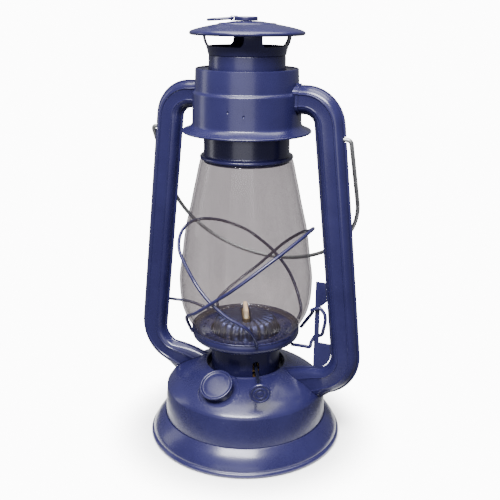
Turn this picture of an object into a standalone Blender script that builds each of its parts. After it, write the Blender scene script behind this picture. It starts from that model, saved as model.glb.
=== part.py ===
"""Twelve-inch tubular hurricane lantern, modelled as the pieces it is pressed and bent from.

Metres, +Z up. The origin is the centre of the foot on the surface it stands on, the side
tubes stand on the X axis and the wick knob and the filler cap are on the -Y side.
"""
import math

import bmesh
import bpy
from mathutils import Matrix, Vector

# Stock and fits
FIT_GAP = 0.0003            # gap between pieces that seat on each other
RUNNING_GAP = 0.0005        # radial gap of what slides or turns
SHEET = 0.0008              # pressed steel sheet
OVERRUN = 0.004             # how far every cutter runs past what it cuts

# Foot flange
FOOT_RADIUS = 0.0722        # outside of the rolled foot
FOOT_BEAD = 0.0040          # height of the rolled edge
FOOT_FLAT = 0.0014          # width of the flat that the lantern stands on
SKIRT_TOP_Z = 0.0175        # where the skirt meets the tank wall

# Tank
TANK_BOTTOM_Z = 0.0070
TANK_LOW_RADIUS = 0.0607    # wall at the skirt
TANK_RADIUS = 0.05935       # wall at the shoulder
SHOULDER_Z = 0.0390
LIP_RADIUS = 0.0300         # raised ring round the burner
LIP_Z = 0.0567
LIP_ROUND = 0.0010
WELL_RADIUS = 0.0284        # well that the burner drum stands in
WELL_FLOOR_Z = 0.0505
BURNER_HOLE_RADIUS = 0.0200

# Filler
FILLER_AZIMUTH = math.radians(-4.0)     # from -Y towards +X
FILLER_TILT = math.radians(33.0)        # of its axis from the vertical
FILLER_RADIUS = 0.0396                  # from the lantern's axis to the pocket's centre
FILLER_FLOOR_Z = 0.0476
POCKET_RADIUS = 0.0152
NECK_RADIUS = 0.0090
NECK_WALL = 0.0008
NECK_HEIGHT = 0.0075
NECK_DEPTH = 0.0040                     # of the neck below the pocket's floor
CAP_RADIUS = 0.0122
CAP_SKIRT_RADIUS = 0.0107
POCKET_REACH = 0.0220                    # how far the pocket's cutter runs out along its axis
CAP_RIM = 0.0019                        # thickness of the rolled rim
CAP_DISH = 0.0009                       # depth of the dished face
GASKET_HEIGHT = 0.0012

# Burner
DRUM_RADIUS = 0.0255
DRUM_TOP_Z = 0.0806
DRUM_SLOT_WIDTH = 0.0048
DRUM_SLOT_TOP_Z = 0.0664
DIFFUSER_Z = 0.0590
DIFFUSER_HOLE_RADIUS = 0.0016
DIFFUSER_HOLE_CIRCLE = 0.0200
DIFFUSER_HOLES = 8
CONE_TOP_RADIUS = 0.0220
CONE_TOP_Z = 0.0918
CONE_CROWN = 0.0024                     # rise of the cone's top at its centre
CONE_SLOT_LENGTH = 0.0300
CONE_SLOT_WIDTH = 0.0072
COLLAR_TOP_Z = 0.0545

# Wick and its works
SHAFT_AZIMUTH = math.radians(27.4)      # from -Y towards +X, also the wick's broad way
SHAFT_DROP = math.radians(5.0)          # fall of the shaft towards its knob
SHAFT_OFFSET = 0.0057                   # from the lantern's axis to the shaft's line
SHAFT_Z = 0.0652                        # of the shaft's line where it passes the axis
SHAFT_RADIUS = 0.0011
SHAFT_INNER_END = 0.0090                # how far the shaft runs past the axis
KNOB_REACH = 0.0615                     # from the axis to the knob's outer face
KNOB_RADIUS = 0.0076
KNOB_THICKNESS = 0.0034
KNOB_SCALLOPS = 16
KNOB_SCALLOP_DEPTH = 0.0005
WICK_WIDTH = 0.0200
WICK_THICKNESS = 0.0028
WICK_TOP_Z = 0.1005
WICK_BOTTOM_Z = 0.0190
WICK_TUBE_WALL = 0.0006
WICK_TUBE_TOP_Z = 0.0945
WICK_TUBE_BOTTOM_Z = 0.0460
WHEEL_THICKNESS = 0.0016
WHEEL_SPACING = 0.0105
WHEEL_TEETH = 10
WHEEL_TOOTH = 0.0007

# Globe plate and globe
PLATE_RADIUS = 0.0399
PLATE_RIM_Z = 0.0866
PLATE_RIM_FOOT_Z = 0.0818
PLATE_THROAT_Z = 0.0768                 # of the lowest ring of the dish
PLATE_THROAT_RADIUS = 0.0300
SEAT_HOLES = 10                         # air holes in the globe's seat
GLOBE_WALL = 0.0016
GLOBE_FOOT_RADIUS = 0.0355
GLOBE_FOOT_Z = 0.0836
GLOBE_BELLY_RADIUS = 0.0484
GLOBE_BELLY_Z = 0.1210
GLOBE_MOUTH_RADIUS = 0.0323
GLOBE_MOUTH_Z = 0.2110

# Guard wires round the globe and the wires that lift and guide it
GUARD_WIRE = 0.0009
GUARD_RADIUS = 0.0496                   # of the inner ring in plan, the other lies outside it
GUARD_CENTRE_Z = 0.1225
GUARD_RISE = 0.0420                     # of each ring's high side over its centre
GUARD_FRONT_END = math.radians(14.0)    # where a ring's front end turns in to the plate
GUARD_BACK_END = math.radians(30.0)     # where its back end does
LEVER_WIRE = 0.0013
LEVER_START = math.radians(17.0)        # of the lift loop's root on the plate's rim
LEVER_LEFT_X = 0.0520                   # of the loop where it stands left of the band
LEVER_RIGHT_X = 0.0630                  # of the loop beside the tube's seam
LEVER_TOP_Z = 0.1080
LEVER_LOW_Z = 0.0860
LEVER_END_Z = 0.0761                    # of its end under the plate
LEVER_END_RADIUS = 0.0365
GUIDE_START = math.radians(155.0)
GUIDE_Z = 0.0920

# Side tubes
TUBE_HALF_WIDTH = 0.0107                # in the plane of the tubes, seam to seam
TUBE_HALF_DEPTH = 0.0068
TUBE_WALL = 0.0009
TUBE_SEAM_WIDTH = 0.0014
TUBE_SEAM_THICKNESS = 0.0012
TUBE_TOP_Z = 0.2522                     # centre line where it enters the chamber
TUBE_TOP_BEND = 0.0172
TUBE_LEAN_X = 0.0612                    # centre line's X at the height below
TUBE_LEAN_Z = 0.2230
TUBE_LEAN = math.atan(0.110)            # lean of the straight run from the vertical
TUBE_LOW_BEND = 0.0224
TUBE_LOW_BEND_Z = 0.0736                # height of the low bend's centre
TUBE_FOOT_FALL = math.radians(22.0)     # fall of the foot towards the tank
TUBE_TOP_SHARE = 0.905                  # section at the upper bend, as a share
TUBE_FOOT_SHARE = 0.78                  # section at the foot, as a share

# Bracket for the lift loop
BRACKET_THICKNESS = 0.0010
BRACKET_EDGE_X = 0.0537                 # its edge towards the globe
BRACKET_BAND = 0.0036                   # width of the band the loop slides on
BRACKET_TOP_Z = 0.1276
BRACKET_WINDOW_TOP_Z = 0.1085
BRACKET_WINDOW_SLOPE = 0.0048           # height and run of the window's slanting top
BRACKET_WINDOW_BOTTOM_Z = 0.0815

# Air chamber
CHAMBER_FLANGE_RADIUS = 0.0446
CHAMBER_FLANGE_Z = 0.2297
CHAMBER_FLANGE_EDGE = 0.0022
CHAMBER_LOW_RADIUS = 0.0375
CHAMBER_LOW_Z = 0.2352                  # where the flange turns up into the wall
CHAMBER_LEDGE_Z = 0.2560
CHAMBER_LEDGE_HEIGHT = 0.0032
CHAMBER_HIGH_RADIUS = 0.0352
CHAMBER_TOP_Z = 0.2726
CHAMBER_BORE_RADIUS = 0.0334            # the bell draws up through it
SCREEN_HOLES = 14
SCREEN_HOLE_RADIUS = 0.0011

# Chimney, bell and hood
CHIMNEY_RADIUS = 0.0260
CHIMNEY_TOP_Z = 0.2809
BELL_RADIUS = 0.0298
BELL_SHOULDER_Z = 0.2300
BELL_CONE_HEIGHT = 0.0065
BELL_BEAD_RADIUS = 0.0326
BELL_BEAD_HEIGHT = 0.0040
BELL_LIP = 0.0018                       # of the bell inside the globe's mouth
SPRING_RADIUS = 0.0285
SPRING_WIRE = 0.0006
SPRING_TURNS = 4
SPRING_POINTS_PER_TURN = 10
CROWN_RADIUS = 0.0296
CROWN_WINDOW_Z = 0.2868
CROWN_LEG_HALF_ANGLE = math.radians(11.5)
CROWN_AZIMUTH = math.radians(31.0)      # of its front leg, from -Y towards +X
CROWN_LEGS = 4
HOOD_RADIUS = 0.0387
HOOD_RIM_Z = 0.2938
HOOD_RIM_HEIGHT = 0.0036
HOOD_TOP_Z = 0.3026
BOSS_RADIUS = 0.0087
BOSS_TOP_Z = 0.3056
LUG_TOP_Z = 0.3061                      # lug on the boss, bored for the pull ring
RING_AZIMUTH = math.radians(-67.0)      # way the pull ring lies, from -Y towards +X
RING_LENGTH = 0.0200
RING_WIDTH = 0.0150
RING_WIRE = 0.0009
RING_LUG = 0.0024                       # half the lug's width
RING_DROP = math.radians(4.0)           # fall of the resting ring

# Bail
BAIL_WIRE = 0.0015
BAIL_PIVOT_Z = 0.2290
BAIL_LENGTH = 0.1194
BAIL_LEAN = math.radians(62.8)          # below the horizontal, leaning back
BAIL_HOOK = 0.0060                      # of each end inside its tube
BAIL_STAND_OFF = 0.0016                 # between the wire and the tube's side

# Facets
LARGE_STEPS = 32
GUARD_STEPS = 26
MEDIUM_STEPS = 24
SMALL_STEPS = 16

# Outlines as shares of the sizes that they follow
SKIRT_SHARES = [(0.0, 1.0), (0.06, 0.93), (0.44, 0.64), (0.78, 0.30), (1.0, 0.0)]
DOME_SHARES = [(0.0, 0.0), (0.063, 0.13), (0.25, 0.367), (0.523, 0.62), (0.795, 0.836), (0.96, 0.955)]
GLOBE_FOOT_SHARES = [(0.0, 0.0), (0.209, 0.064), (0.318, 0.131), (0.643, 0.321), (0.837, 0.492),
                     (0.953, 0.706)]
GLOBE_NECK_SHARES = [(0.0, 0.0), (0.093, 0.167), (0.23, 0.367), (0.453, 0.562), (0.689, 0.756),
                     (0.925, 0.944), (1.0, 1.0)]
PLATE_SHARES = [(1.0, 0.0), (0.93, -0.45), (0.70, -0.80), (0.30, -0.97)]
HOOD_SHARES = [(0.96, 0.0), (0.84, 0.22), (0.62, 0.55), (0.40, 0.80)]
CROWN_SHARES = [(0.0, 0.0), (0.20, 0.16), (0.64, 0.36), (0.88, 0.62), (1.0, 1.0)]
TUBE_SECTION_SHARES = [(0.72, 0.70), (0.42, 1.0)]
TUBE_BORE_SHARES = [(0.80, 0.0), (0.64, 0.62), (0.37, 1.0)]


def blend(low, high, share):
    """Value at a share of the way from low to high."""
    return low + (high - low) * share


def clear_scene():
    """Remove every object of the open scene."""
    for item in list(bpy.data.objects):
        bpy.data.objects.remove(item, do_unlink=True)


def make_material(name, colour, metallic, roughness, alpha=1.0):
    """Principled material of one finish."""
    material = bpy.data.materials.new(name)
    material.use_nodes = True
    shader = material.node_tree.nodes["Principled BSDF"]
    shader.inputs["Base Color"].default_value = (*colour, 1.0)
    shader.inputs["Metallic"].default_value = metallic
    shader.inputs["Roughness"].default_value = roughness
    shader.inputs["Alpha"].default_value = alpha
    material.diffuse_color = (*colour, alpha)
    return material


def make_object(name, mesh_builder, material):
    """Object of a finished bmesh, shaded smooth with its sharp edges kept."""
    bmesh.ops.remove_doubles(mesh_builder, verts=mesh_builder.verts, dist=1e-6)
    bmesh.ops.recalc_face_normals(mesh_builder, faces=mesh_builder.faces)
    mesh = bpy.data.meshes.new(name)
    mesh_builder.to_mesh(mesh)
    mesh_builder.free()
    mesh.shade_smooth()
    mesh.set_sharp_from_angle(angle=math.radians(35.0))
    if material is not None:
        mesh.materials.append(material)
    made = bpy.data.objects.new(name, mesh)
    bpy.context.scene.collection.objects.link(made)
    return made


def cut(target, cutter, operation='DIFFERENCE'):
    """Apply a Boolean of the cutter to the target, and remove the cutter."""
    modifier = target.modifiers.new("cut", 'BOOLEAN')
    modifier.operation = operation
    modifier.object = cutter
    graph = bpy.context.evaluated_depsgraph_get()
    graph.update()
    mesh = bpy.data.meshes.new_from_object(target.evaluated_get(graph))
    target.modifiers.clear()
    old = target.data
    target.data = mesh
    bpy.data.meshes.remove(old)
    mesh.name = target.name
    bpy.data.objects.remove(cutter, do_unlink=True)


def move_origin(item, place):
    """Put an object's origin on a point of its joint's axis, with its shape left where it is."""
    item.data.transform(Matrix.Translation(-Vector(place)))
    item.location = place


def offset_path(points, distance):
    """Path moved sideways by a distance, to the left of its direction, with mitred corners."""
    moved = []
    count = len(points)
    for index, (radius, height) in enumerate(points):
        normals = []
        for first, second in ((index - 1, index), (index, index + 1)):
            if first < 0 or second >= count:
                continue
            step_r = points[second][0] - points[first][0]
            step_z = points[second][1] - points[first][1]
            length = math.hypot(step_r, step_z)
            normals.append((-step_z / length, step_r / length))
        if len(normals) == 1:
            mitre_r, mitre_z = normals[0]
        else:
            mitre_r = normals[0][0] + normals[1][0]
            mitre_z = normals[0][1] + normals[1][1]
            square = mitre_r * mitre_r + mitre_z * mitre_z
            mitre_r *= 2 / max(square, 1.0)
            mitre_z *= 2 / max(square, 1.0)
        moved.append((radius + mitre_r * distance, height + mitre_z * distance))
    return moved


def shell(points, thickness):
    """Closed outline of a sheet that lies to the left of a path."""
    return points + offset_path(points, thickness)[::-1]


def revolve(outline, steps, closed=True):
    """Body turned round Z from an outline of radius and height."""
    body = bmesh.new()
    verts = [body.verts.new((radius, 0, height)) for radius, height in outline]
    edges = [body.edges.new(pair) for pair in zip(verts, verts[1:])]
    if closed:
        edges.append(body.edges.new((verts[-1], verts[0])))
    bmesh.ops.spin(body, geom=verts + edges, cent=(0, 0, 0), axis=(0, 0, 1),
                   angle=math.tau, steps=steps, use_merge=True)
    bmesh.ops.remove_doubles(body, verts=body.verts, dist=1e-6)
    bmesh.ops.recalc_face_normals(body, faces=body.faces)
    return body


def solid_of_turn(name, points, steps):
    """Full round solid under a path that starts and ends off the axis."""
    outline = [(0, points[0][1])] + points + [(0, points[-1][1])]
    return make_object(name, revolve(outline, steps, closed=False), None)


def round_bar(name, radius, low, high, steps):
    """Round bar on Z between two heights."""
    return solid_of_turn(name, [(radius, low), (radius, high)], steps)


def prism(outline, low, high):
    """Straight prism of an XY outline between two heights."""
    body = bmesh.new()
    verts = [body.verts.new((x, y, low)) for x, y in outline]
    face = body.faces.new(verts)
    grown = bmesh.ops.extrude_face_region(body, geom=[face])
    top = [part for part in grown["geom"] if isinstance(part, bmesh.types.BMVert)]
    bmesh.ops.translate(body, verts=top, vec=(0, 0, high - low))
    bmesh.ops.recalc_face_normals(body, faces=body.faces)
    return body


def slot_outline(length, width, steps):
    """Outline of a slot with round ends, long way on X."""
    straight = (length - width) / 2
    points = []
    for side, start in ((1, -math.pi / 2), (-1, math.pi / 2)):
        for index in range(steps + 1):
            angle = start + math.pi * index / steps
            points.append((side * straight + math.cos(angle) * width / 2, math.sin(angle) * width / 2))
    return points


def loft(rings, capped=True):
    """Skin through rings of points that have the same count."""
    body = bmesh.new()
    rows = [[body.verts.new(point) for point in ring] for ring in rings]
    count = len(rows[0])
    for row, following in zip(rows, rows[1:]):
        for index in range(count):
            after = (index + 1) % count
            body.faces.new((row[index], row[after], following[after], following[index]))
    if capped:
        body.faces.new(rows[0])
        body.faces.new(rows[-1][::-1])
    bmesh.ops.recalc_face_normals(body, faces=body.faces)
    return body


def make_wire(name, points, radius, material, resolution=1, cyclic=False):
    """Round wire along points, as a curve with filled ends."""
    curve = bpy.data.curves.new(name, 'CURVE')
    curve.dimensions = '3D'
    curve.bevel_depth = radius
    curve.bevel_resolution = resolution
    curve.use_fill_caps = not cyclic
    curve.twist_mode = 'MINIMUM'
    spline = curve.splines.new('POLY')
    spline.points.add(len(points) - 1)
    for knot, point in zip(spline.points, points):
        knot.co = (*point, 1.0)
    spline.use_cyclic_u = cyclic
    spline.use_smooth = True
    curve.materials.append(material)
    made = bpy.data.objects.new(name, curve)
    bpy.context.scene.collection.objects.link(made)
    return made


def smooth_route(knots, per_span):
    """Points of a Catmull-Rom curve through knots, ends included."""
    knots = [Vector(knot) for knot in knots]
    padded = [knots[0] * 2 - knots[1]] + knots + [knots[-1] * 2 - knots[-2]]
    points = []
    for index in range(len(knots) - 1):
        before, start, end, after = padded[index:index + 4]
        for step in range(per_span):
            t = step / per_span
            points.append(0.5 * ((2 * start) + (end - before) * t
                                 + (2 * before - 5 * start + 4 * end - after) * t * t
                                 + (3 * start - before - 3 * end + after) * t * t * t))
    points.append(knots[-1])
    return points


def azimuth_way(angle):
    """Level unit vector at an angle from -Y towards +X."""
    return Vector((math.sin(angle), -math.cos(angle), 0))


def placed_on_axis(item, foot, axis):
    """Turn an item made on Z so that Z runs along an axis from a foot point."""
    turn = Vector((0, 0, 1)).rotation_difference(Vector(axis)).to_matrix().to_4x4()
    item.data.transform(Matrix.Translation(foot) @ turn)
    return item


# Tank and foot

def tank_wall_path():
    """Outside of the tank from its bottom edge over the dome to the rim of the burner's well."""
    rise = LIP_Z - SHOULDER_Z
    run = TANK_RADIUS - LIP_RADIUS
    path = [(TANK_LOW_RADIUS, TANK_BOTTOM_Z), (TANK_LOW_RADIUS, SKIRT_TOP_Z)]
    for inward, up in DOME_SHARES:
        path.append((TANK_RADIUS - run * inward, SHOULDER_Z + rise * up))
    path.append((LIP_RADIUS, LIP_Z))
    return path


def well_path():
    """From the lip down into the well and in to the burner's hole."""
    return [(LIP_RADIUS - LIP_ROUND, LIP_Z - LIP_ROUND / 2), (WELL_RADIUS, LIP_Z - LIP_ROUND * 2),
            (WELL_RADIUS, WELL_FLOOR_Z), (BURNER_HOLE_RADIUS, WELL_FLOOR_Z)]


def tank_blank(name, growth):
    """Solid of the tank's outside, grown by a gap, for trimming what meets it."""
    path = offset_path(tank_wall_path(), -growth)
    low = (path[0][0], TANK_BOTTOM_Z - OVERRUN)
    return solid_of_turn(name, [low] + path[1:], LARGE_STEPS)


def filler_axis():
    """Foot point and unit axis of the filler neck."""
    way = azimuth_way(FILLER_AZIMUTH)
    foot = way * FILLER_RADIUS + Vector((0, 0, FILLER_FLOOR_Z))
    axis = way * math.sin(FILLER_TILT) + Vector((0, 0, math.cos(FILLER_TILT)))
    return foot, axis


def build_tank(paint):
    """Pressed tank with its filler pocket, its bottom and the flared foot."""
    foot, axis = filler_axis()
    outline = shell(tank_wall_path() + well_path(), SHEET)
    tank = make_object("fount_shell", revolve(outline, LARGE_STEPS), paint)
    cup = round_bar("pocket cup", POCKET_RADIUS + SHEET, -SHEET, POCKET_REACH, SMALL_STEPS)
    placed_on_axis(cup, foot, axis)
    cut(cup, tank_blank("pocket trim", 0), 'INTERSECT')
    cut(tank, cup, 'UNION')
    pocket = round_bar("pocket", POCKET_RADIUS, 0, POCKET_REACH, SMALL_STEPS)
    cut(tank, placed_on_axis(pocket, foot, axis))
    hole = round_bar("filler hole", NECK_RADIUS + FIT_GAP, -OVERRUN, OVERRUN, SMALL_STEPS)
    cut(tank, placed_on_axis(hole, foot, axis))

    inner = TANK_LOW_RADIUS - SHEET - FIT_GAP
    path = [(inner, TANK_BOTTOM_Z), (inner, TANK_BOTTOM_Z + FOOT_BEAD),
            (inner - SHEET, TANK_BOTTOM_Z + FOOT_BEAD), (inner - SHEET, TANK_BOTTOM_Z + SHEET),
            (0, TANK_BOTTOM_Z + SHEET)]
    outline = [(0, TANK_BOTTOM_Z)] + path
    make_object("fount_bottom", revolve(outline, LARGE_STEPS, closed=False), paint)

    top_radius = TANK_LOW_RADIUS + FIT_GAP + SHEET
    bead_radius = FOOT_RADIUS - FOOT_BEAD / 4
    path = []
    for out, up in SKIRT_SHARES:
        path.append((blend(top_radius, bead_radius, out), blend(FOOT_BEAD, SKIRT_TOP_Z, up)))
    bead = [(FOOT_RADIUS, FOOT_BEAD / 2), (FOOT_RADIUS - FOOT_BEAD / 8, FOOT_BEAD / 8),
            (FOOT_RADIUS - FOOT_BEAD / 4, 0), (FOOT_RADIUS - FOOT_BEAD / 4 - FOOT_FLAT, 0)]
    inside = offset_path(path, -SHEET)
    outline = path + bead + inside[::-1]
    make_object("base_flange", revolve(outline, LARGE_STEPS), paint)


def build_filler(paint, cork):
    """Filler neck, its cork washer and the screw cap."""
    foot, axis = filler_axis()
    inner = NECK_RADIUS - NECK_WALL
    outline = [(inner, -NECK_DEPTH), (NECK_RADIUS, -NECK_DEPTH), (NECK_RADIUS, NECK_HEIGHT),
               (inner, NECK_HEIGHT)]
    neck = make_object("filler_neck", revolve(outline, SMALL_STEPS), paint)
    placed_on_axis(neck, foot, axis)

    gasket_low = NECK_HEIGHT + FIT_GAP
    gasket_high = gasket_low + GASKET_HEIGHT
    outline = [(inner, gasket_low), (NECK_RADIUS, gasket_low), (NECK_RADIUS, gasket_high),
               (inner, gasket_high)]
    gasket = make_object("filler_gasket", revolve(outline, SMALL_STEPS), cork)
    placed_on_axis(gasket, foot, axis)

    under = gasket_high + FIT_GAP
    skirt_inner = NECK_RADIUS + RUNNING_GAP
    skirt_low = under - NECK_HEIGHT + SHEET
    rim = CAP_RIM
    top = under + SHEET + CAP_DISH
    outline = [(0, under), (skirt_inner, under), (skirt_inner, skirt_low),
               (CAP_SKIRT_RADIUS, skirt_low), (CAP_SKIRT_RADIUS, top - rim),
               (CAP_RADIUS - rim / 4, top - rim), (CAP_RADIUS, top - rim / 2),
               (CAP_RADIUS - rim / 4, top), (CAP_RADIUS - rim * 3 / 4, top),
               (CAP_RADIUS - rim, top - CAP_DISH), (0, top - CAP_DISH)]
    cap = make_object("filler_cap", revolve(outline, SMALL_STEPS + 4, closed=False), paint)
    placed_on_axis(cap, foot, axis)
    for item in (gasket, cap):
        move_origin(item, foot)


# Burner and wick

def wick_frame():
    """Level broad way of the wick, its level normal and the turn that lays X on the broad way."""
    broad = azimuth_way(SHAFT_AZIMUTH)
    normal = Vector((-broad.y, broad.x, 0))
    turn = Matrix.Rotation(math.atan2(broad.y, broad.x), 4, 'Z')
    return broad, normal, turn


def shaft_line():
    """Point of the shaft beside the lantern's axis, and its unit way out to the knob."""
    broad, normal, _ = wick_frame()
    start = normal * SHAFT_OFFSET + Vector((0, 0, SHAFT_Z))
    way = broad * math.cos(SHAFT_DROP) - Vector((0, 0, math.sin(SHAFT_DROP)))
    return start, way


def build_burner(steel, brass):
    """Drum, diffuser, wick tube and flame cone of the flat-wick burner."""
    _, _, turn = wick_frame()
    start, way = shaft_line()
    collar_inner = BURNER_HOLE_RADIUS - SHEET * 2
    ledge = WELL_FLOOR_Z + FIT_GAP
    outline = [(collar_inner, WELL_FLOOR_Z - FOOT_BEAD), (BURNER_HOLE_RADIUS - FIT_GAP, WELL_FLOOR_Z - FOOT_BEAD),
               (BURNER_HOLE_RADIUS - FIT_GAP, ledge), (BURNER_HOLE_RADIUS + SHEET * 2, ledge),
               (BURNER_HOLE_RADIUS + SHEET * 2, ledge + SHEET), (BURNER_HOLE_RADIUS, ledge + SHEET),
               (BURNER_HOLE_RADIUS, COLLAR_TOP_Z), (collar_inner, COLLAR_TOP_Z)]
    make_object("burner_collar", revolve(outline, MEDIUM_STEPS), brass)

    path = [(DRUM_RADIUS, ledge), (DRUM_RADIUS, DRUM_TOP_Z)]
    drum = make_object("burner_drum", revolve(shell(path, SHEET), MEDIUM_STEPS), steel)
    slot = make_object("slot", prism([(0, -DRUM_SLOT_WIDTH / 2), (DRUM_RADIUS * 2, -DRUM_SLOT_WIDTH / 2),
                                      (DRUM_RADIUS * 2, DRUM_SLOT_WIDTH / 2), (0, DRUM_SLOT_WIDTH / 2)],
                                     ledge - OVERRUN, DRUM_SLOT_TOP_Z), None)
    slot.data.transform(Matrix.Translation((start.x, start.y, 0)) @ turn)
    cut(drum, slot)

    disc_radius = DRUM_RADIUS - SHEET - FIT_GAP
    disc = round_bar("burner_diffuser", disc_radius, DIFFUSER_Z - SHEET, DIFFUSER_Z, MEDIUM_STEPS)
    disc.data.materials.append(brass)
    for index in range(DIFFUSER_HOLES):
        angle = math.tau * (index + 0.5) / DIFFUSER_HOLES
        hole = round_bar("hole", DIFFUSER_HOLE_RADIUS, DIFFUSER_Z - OVERRUN, DIFFUSER_Z + OVERRUN, 6)
        place = azimuth_way(SHAFT_AZIMUTH + angle) * DIFFUSER_HOLE_CIRCLE
        hole.data.transform(Matrix.Translation(place))
        cut(disc, hole)
    tube_length = WICK_WIDTH + (RUNNING_GAP + WICK_TUBE_WALL) * 2
    tube_width = WICK_THICKNESS + (RUNNING_GAP + WICK_TUBE_WALL) * 2
    passage = prism(slot_outline(tube_length + FIT_GAP * 2, tube_width + FIT_GAP * 2, 4),
                    DIFFUSER_Z - OVERRUN, DIFFUSER_Z + OVERRUN)
    passage = make_object("passage", passage, None)
    passage.data.transform(turn)
    cut(disc, passage)

    body = prism(slot_outline(tube_length, tube_width, 4), WICK_TUBE_BOTTOM_Z, WICK_TUBE_TOP_Z)
    tube = make_object("wick_tube", body, brass)
    bore = prism(slot_outline(WICK_WIDTH + RUNNING_GAP * 2, WICK_THICKNESS + RUNNING_GAP * 2, 4),
                 WICK_TUBE_BOTTOM_Z - OVERRUN, WICK_TUBE_TOP_Z + OVERRUN)
    cut(tube, make_object("bore", bore, None))
    window_height = wheel_radius() * 2
    for side in (-1, 1):
        middle = side * WHEEL_SPACING / 2
        half = WHEEL_THICKNESS / 2 + RUNNING_GAP
        window = prism([(middle - half, 0), (middle + half, 0), (middle + half, SHAFT_OFFSET),
                        (middle - half, SHAFT_OFFSET)],
                       SHAFT_Z - window_height / 2, SHAFT_Z + window_height / 2)
        cut(tube, make_object("window", window, None))
    tube.data.transform(turn)

    base = DRUM_RADIUS - SHEET - FIT_GAP
    path = [(base, DRUM_TOP_Z - FOOT_BEAD), (base, DRUM_TOP_Z + SHEET), (blend(base, CONE_TOP_RADIUS, 0.5), blend(DRUM_TOP_Z, CONE_TOP_Z, 0.5)),
            (CONE_TOP_RADIUS, CONE_TOP_Z), (CONE_TOP_RADIUS * 0.6, CONE_TOP_Z + CONE_CROWN * 0.75),
            (CONE_TOP_RADIUS * 0.2, CONE_TOP_Z + CONE_CROWN), (0, CONE_TOP_Z + CONE_CROWN)]
    inside = offset_path(path[:-1], SHEET)
    inside.append((0, inside[-1][1]))
    cone = make_object("burner_cone", revolve(path[::-1] + inside, MEDIUM_STEPS, closed=False), steel)
    gap = prism(slot_outline(CONE_SLOT_LENGTH, CONE_SLOT_WIDTH, 4), DRUM_TOP_Z, CONE_TOP_Z + OVERRUN)
    gap = make_object("flame slot", gap, None)
    gap.data.transform(turn)
    cut(cone, gap)


def wheel_radius():
    """Radius of the star wheels, which just clear the wick's face."""
    return SHAFT_OFFSET - WICK_THICKNESS / 2 - FIT_GAP


def build_wick_works(steel, brass, cotton):
    """The flat wick and the shaft, star wheels and knob that raise it."""
    _, _, turn = wick_frame()
    start, way = shaft_line()
    body = prism(slot_outline(WICK_WIDTH, WICK_THICKNESS, 4), WICK_BOTTOM_Z, WICK_TOP_Z)
    wick = make_object("wick", body, cotton)
    wick.data.transform(turn)

    knob_back = KNOB_REACH - KNOB_THICKNESS
    shaft = round_bar("wick_shaft", SHAFT_RADIUS, -SHAFT_INNER_END, knob_back - FIT_GAP, 8)
    shaft.data.materials.append(steel)
    placed_on_axis(shaft, start, way)
    for label, side in (("inner", -1), ("outer", 1)):
        points = []
        for index in range(WHEEL_TEETH * 2):
            angle = math.pi * index / WHEEL_TEETH
            radius = wheel_radius() - (WHEEL_TOOTH if index % 2 else 0)
            points.append((math.cos(angle) * radius, math.sin(angle) * radius))
        low = side * WHEEL_SPACING / 2 - WHEEL_THICKNESS / 2
        wheel = make_object("wick_wheel_" + label, prism(points, low, low + WHEEL_THICKNESS), brass)
        hub = round_bar("hub", SHAFT_RADIUS + FIT_GAP, low - OVERRUN, low + OVERRUN * 2, 8)
        cut(wheel, hub)
        placed_on_axis(wheel, start, way)
        move_origin(wheel, start)

    points = []
    for index in range(KNOB_SCALLOPS * 2):
        angle = math.pi * index / KNOB_SCALLOPS
        radius = KNOB_RADIUS - (KNOB_SCALLOP_DEPTH if index % 2 else 0)
        points.append((math.cos(angle) * radius, math.sin(angle) * radius))
    knob = make_object("wick_knob", prism(points, knob_back, KNOB_REACH), steel)
    step = KNOB_RADIUS / 4
    recess = revolve([(step, KNOB_REACH - SHEET / 2), (step * 2, KNOB_REACH - SHEET / 2),
                      (step * 2, KNOB_REACH + SHEET), (step, KNOB_REACH + SHEET)], SMALL_STEPS)
    cut(knob, make_object("recess", recess, None))
    recess = revolve([(step * 2.6, KNOB_REACH - SHEET / 2), (step * 3.3, KNOB_REACH - SHEET / 2),
                      (step * 3.3, KNOB_REACH + SHEET), (step * 2.6, KNOB_REACH + SHEET)], SMALL_STEPS)
    cut(knob, make_object("recess", recess, None))
    placed_on_axis(knob, start, way)
    for item in (shaft, knob):
        move_origin(item, start)


# Globe, its plate and the guard wires

def globe_path():
    """Outside of the glass from its foot to its mouth."""
    path = []
    for out, up in GLOBE_FOOT_SHARES:
        path.append((blend(GLOBE_FOOT_RADIUS, GLOBE_BELLY_RADIUS, out), blend(GLOBE_FOOT_Z, GLOBE_BELLY_Z, up)))
    for inward, up in GLOBE_NECK_SHARES:
        path.append((blend(GLOBE_BELLY_RADIUS, GLOBE_MOUTH_RADIUS, inward),
                     blend(GLOBE_BELLY_Z, GLOBE_MOUTH_Z, up)))
    return path


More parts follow.
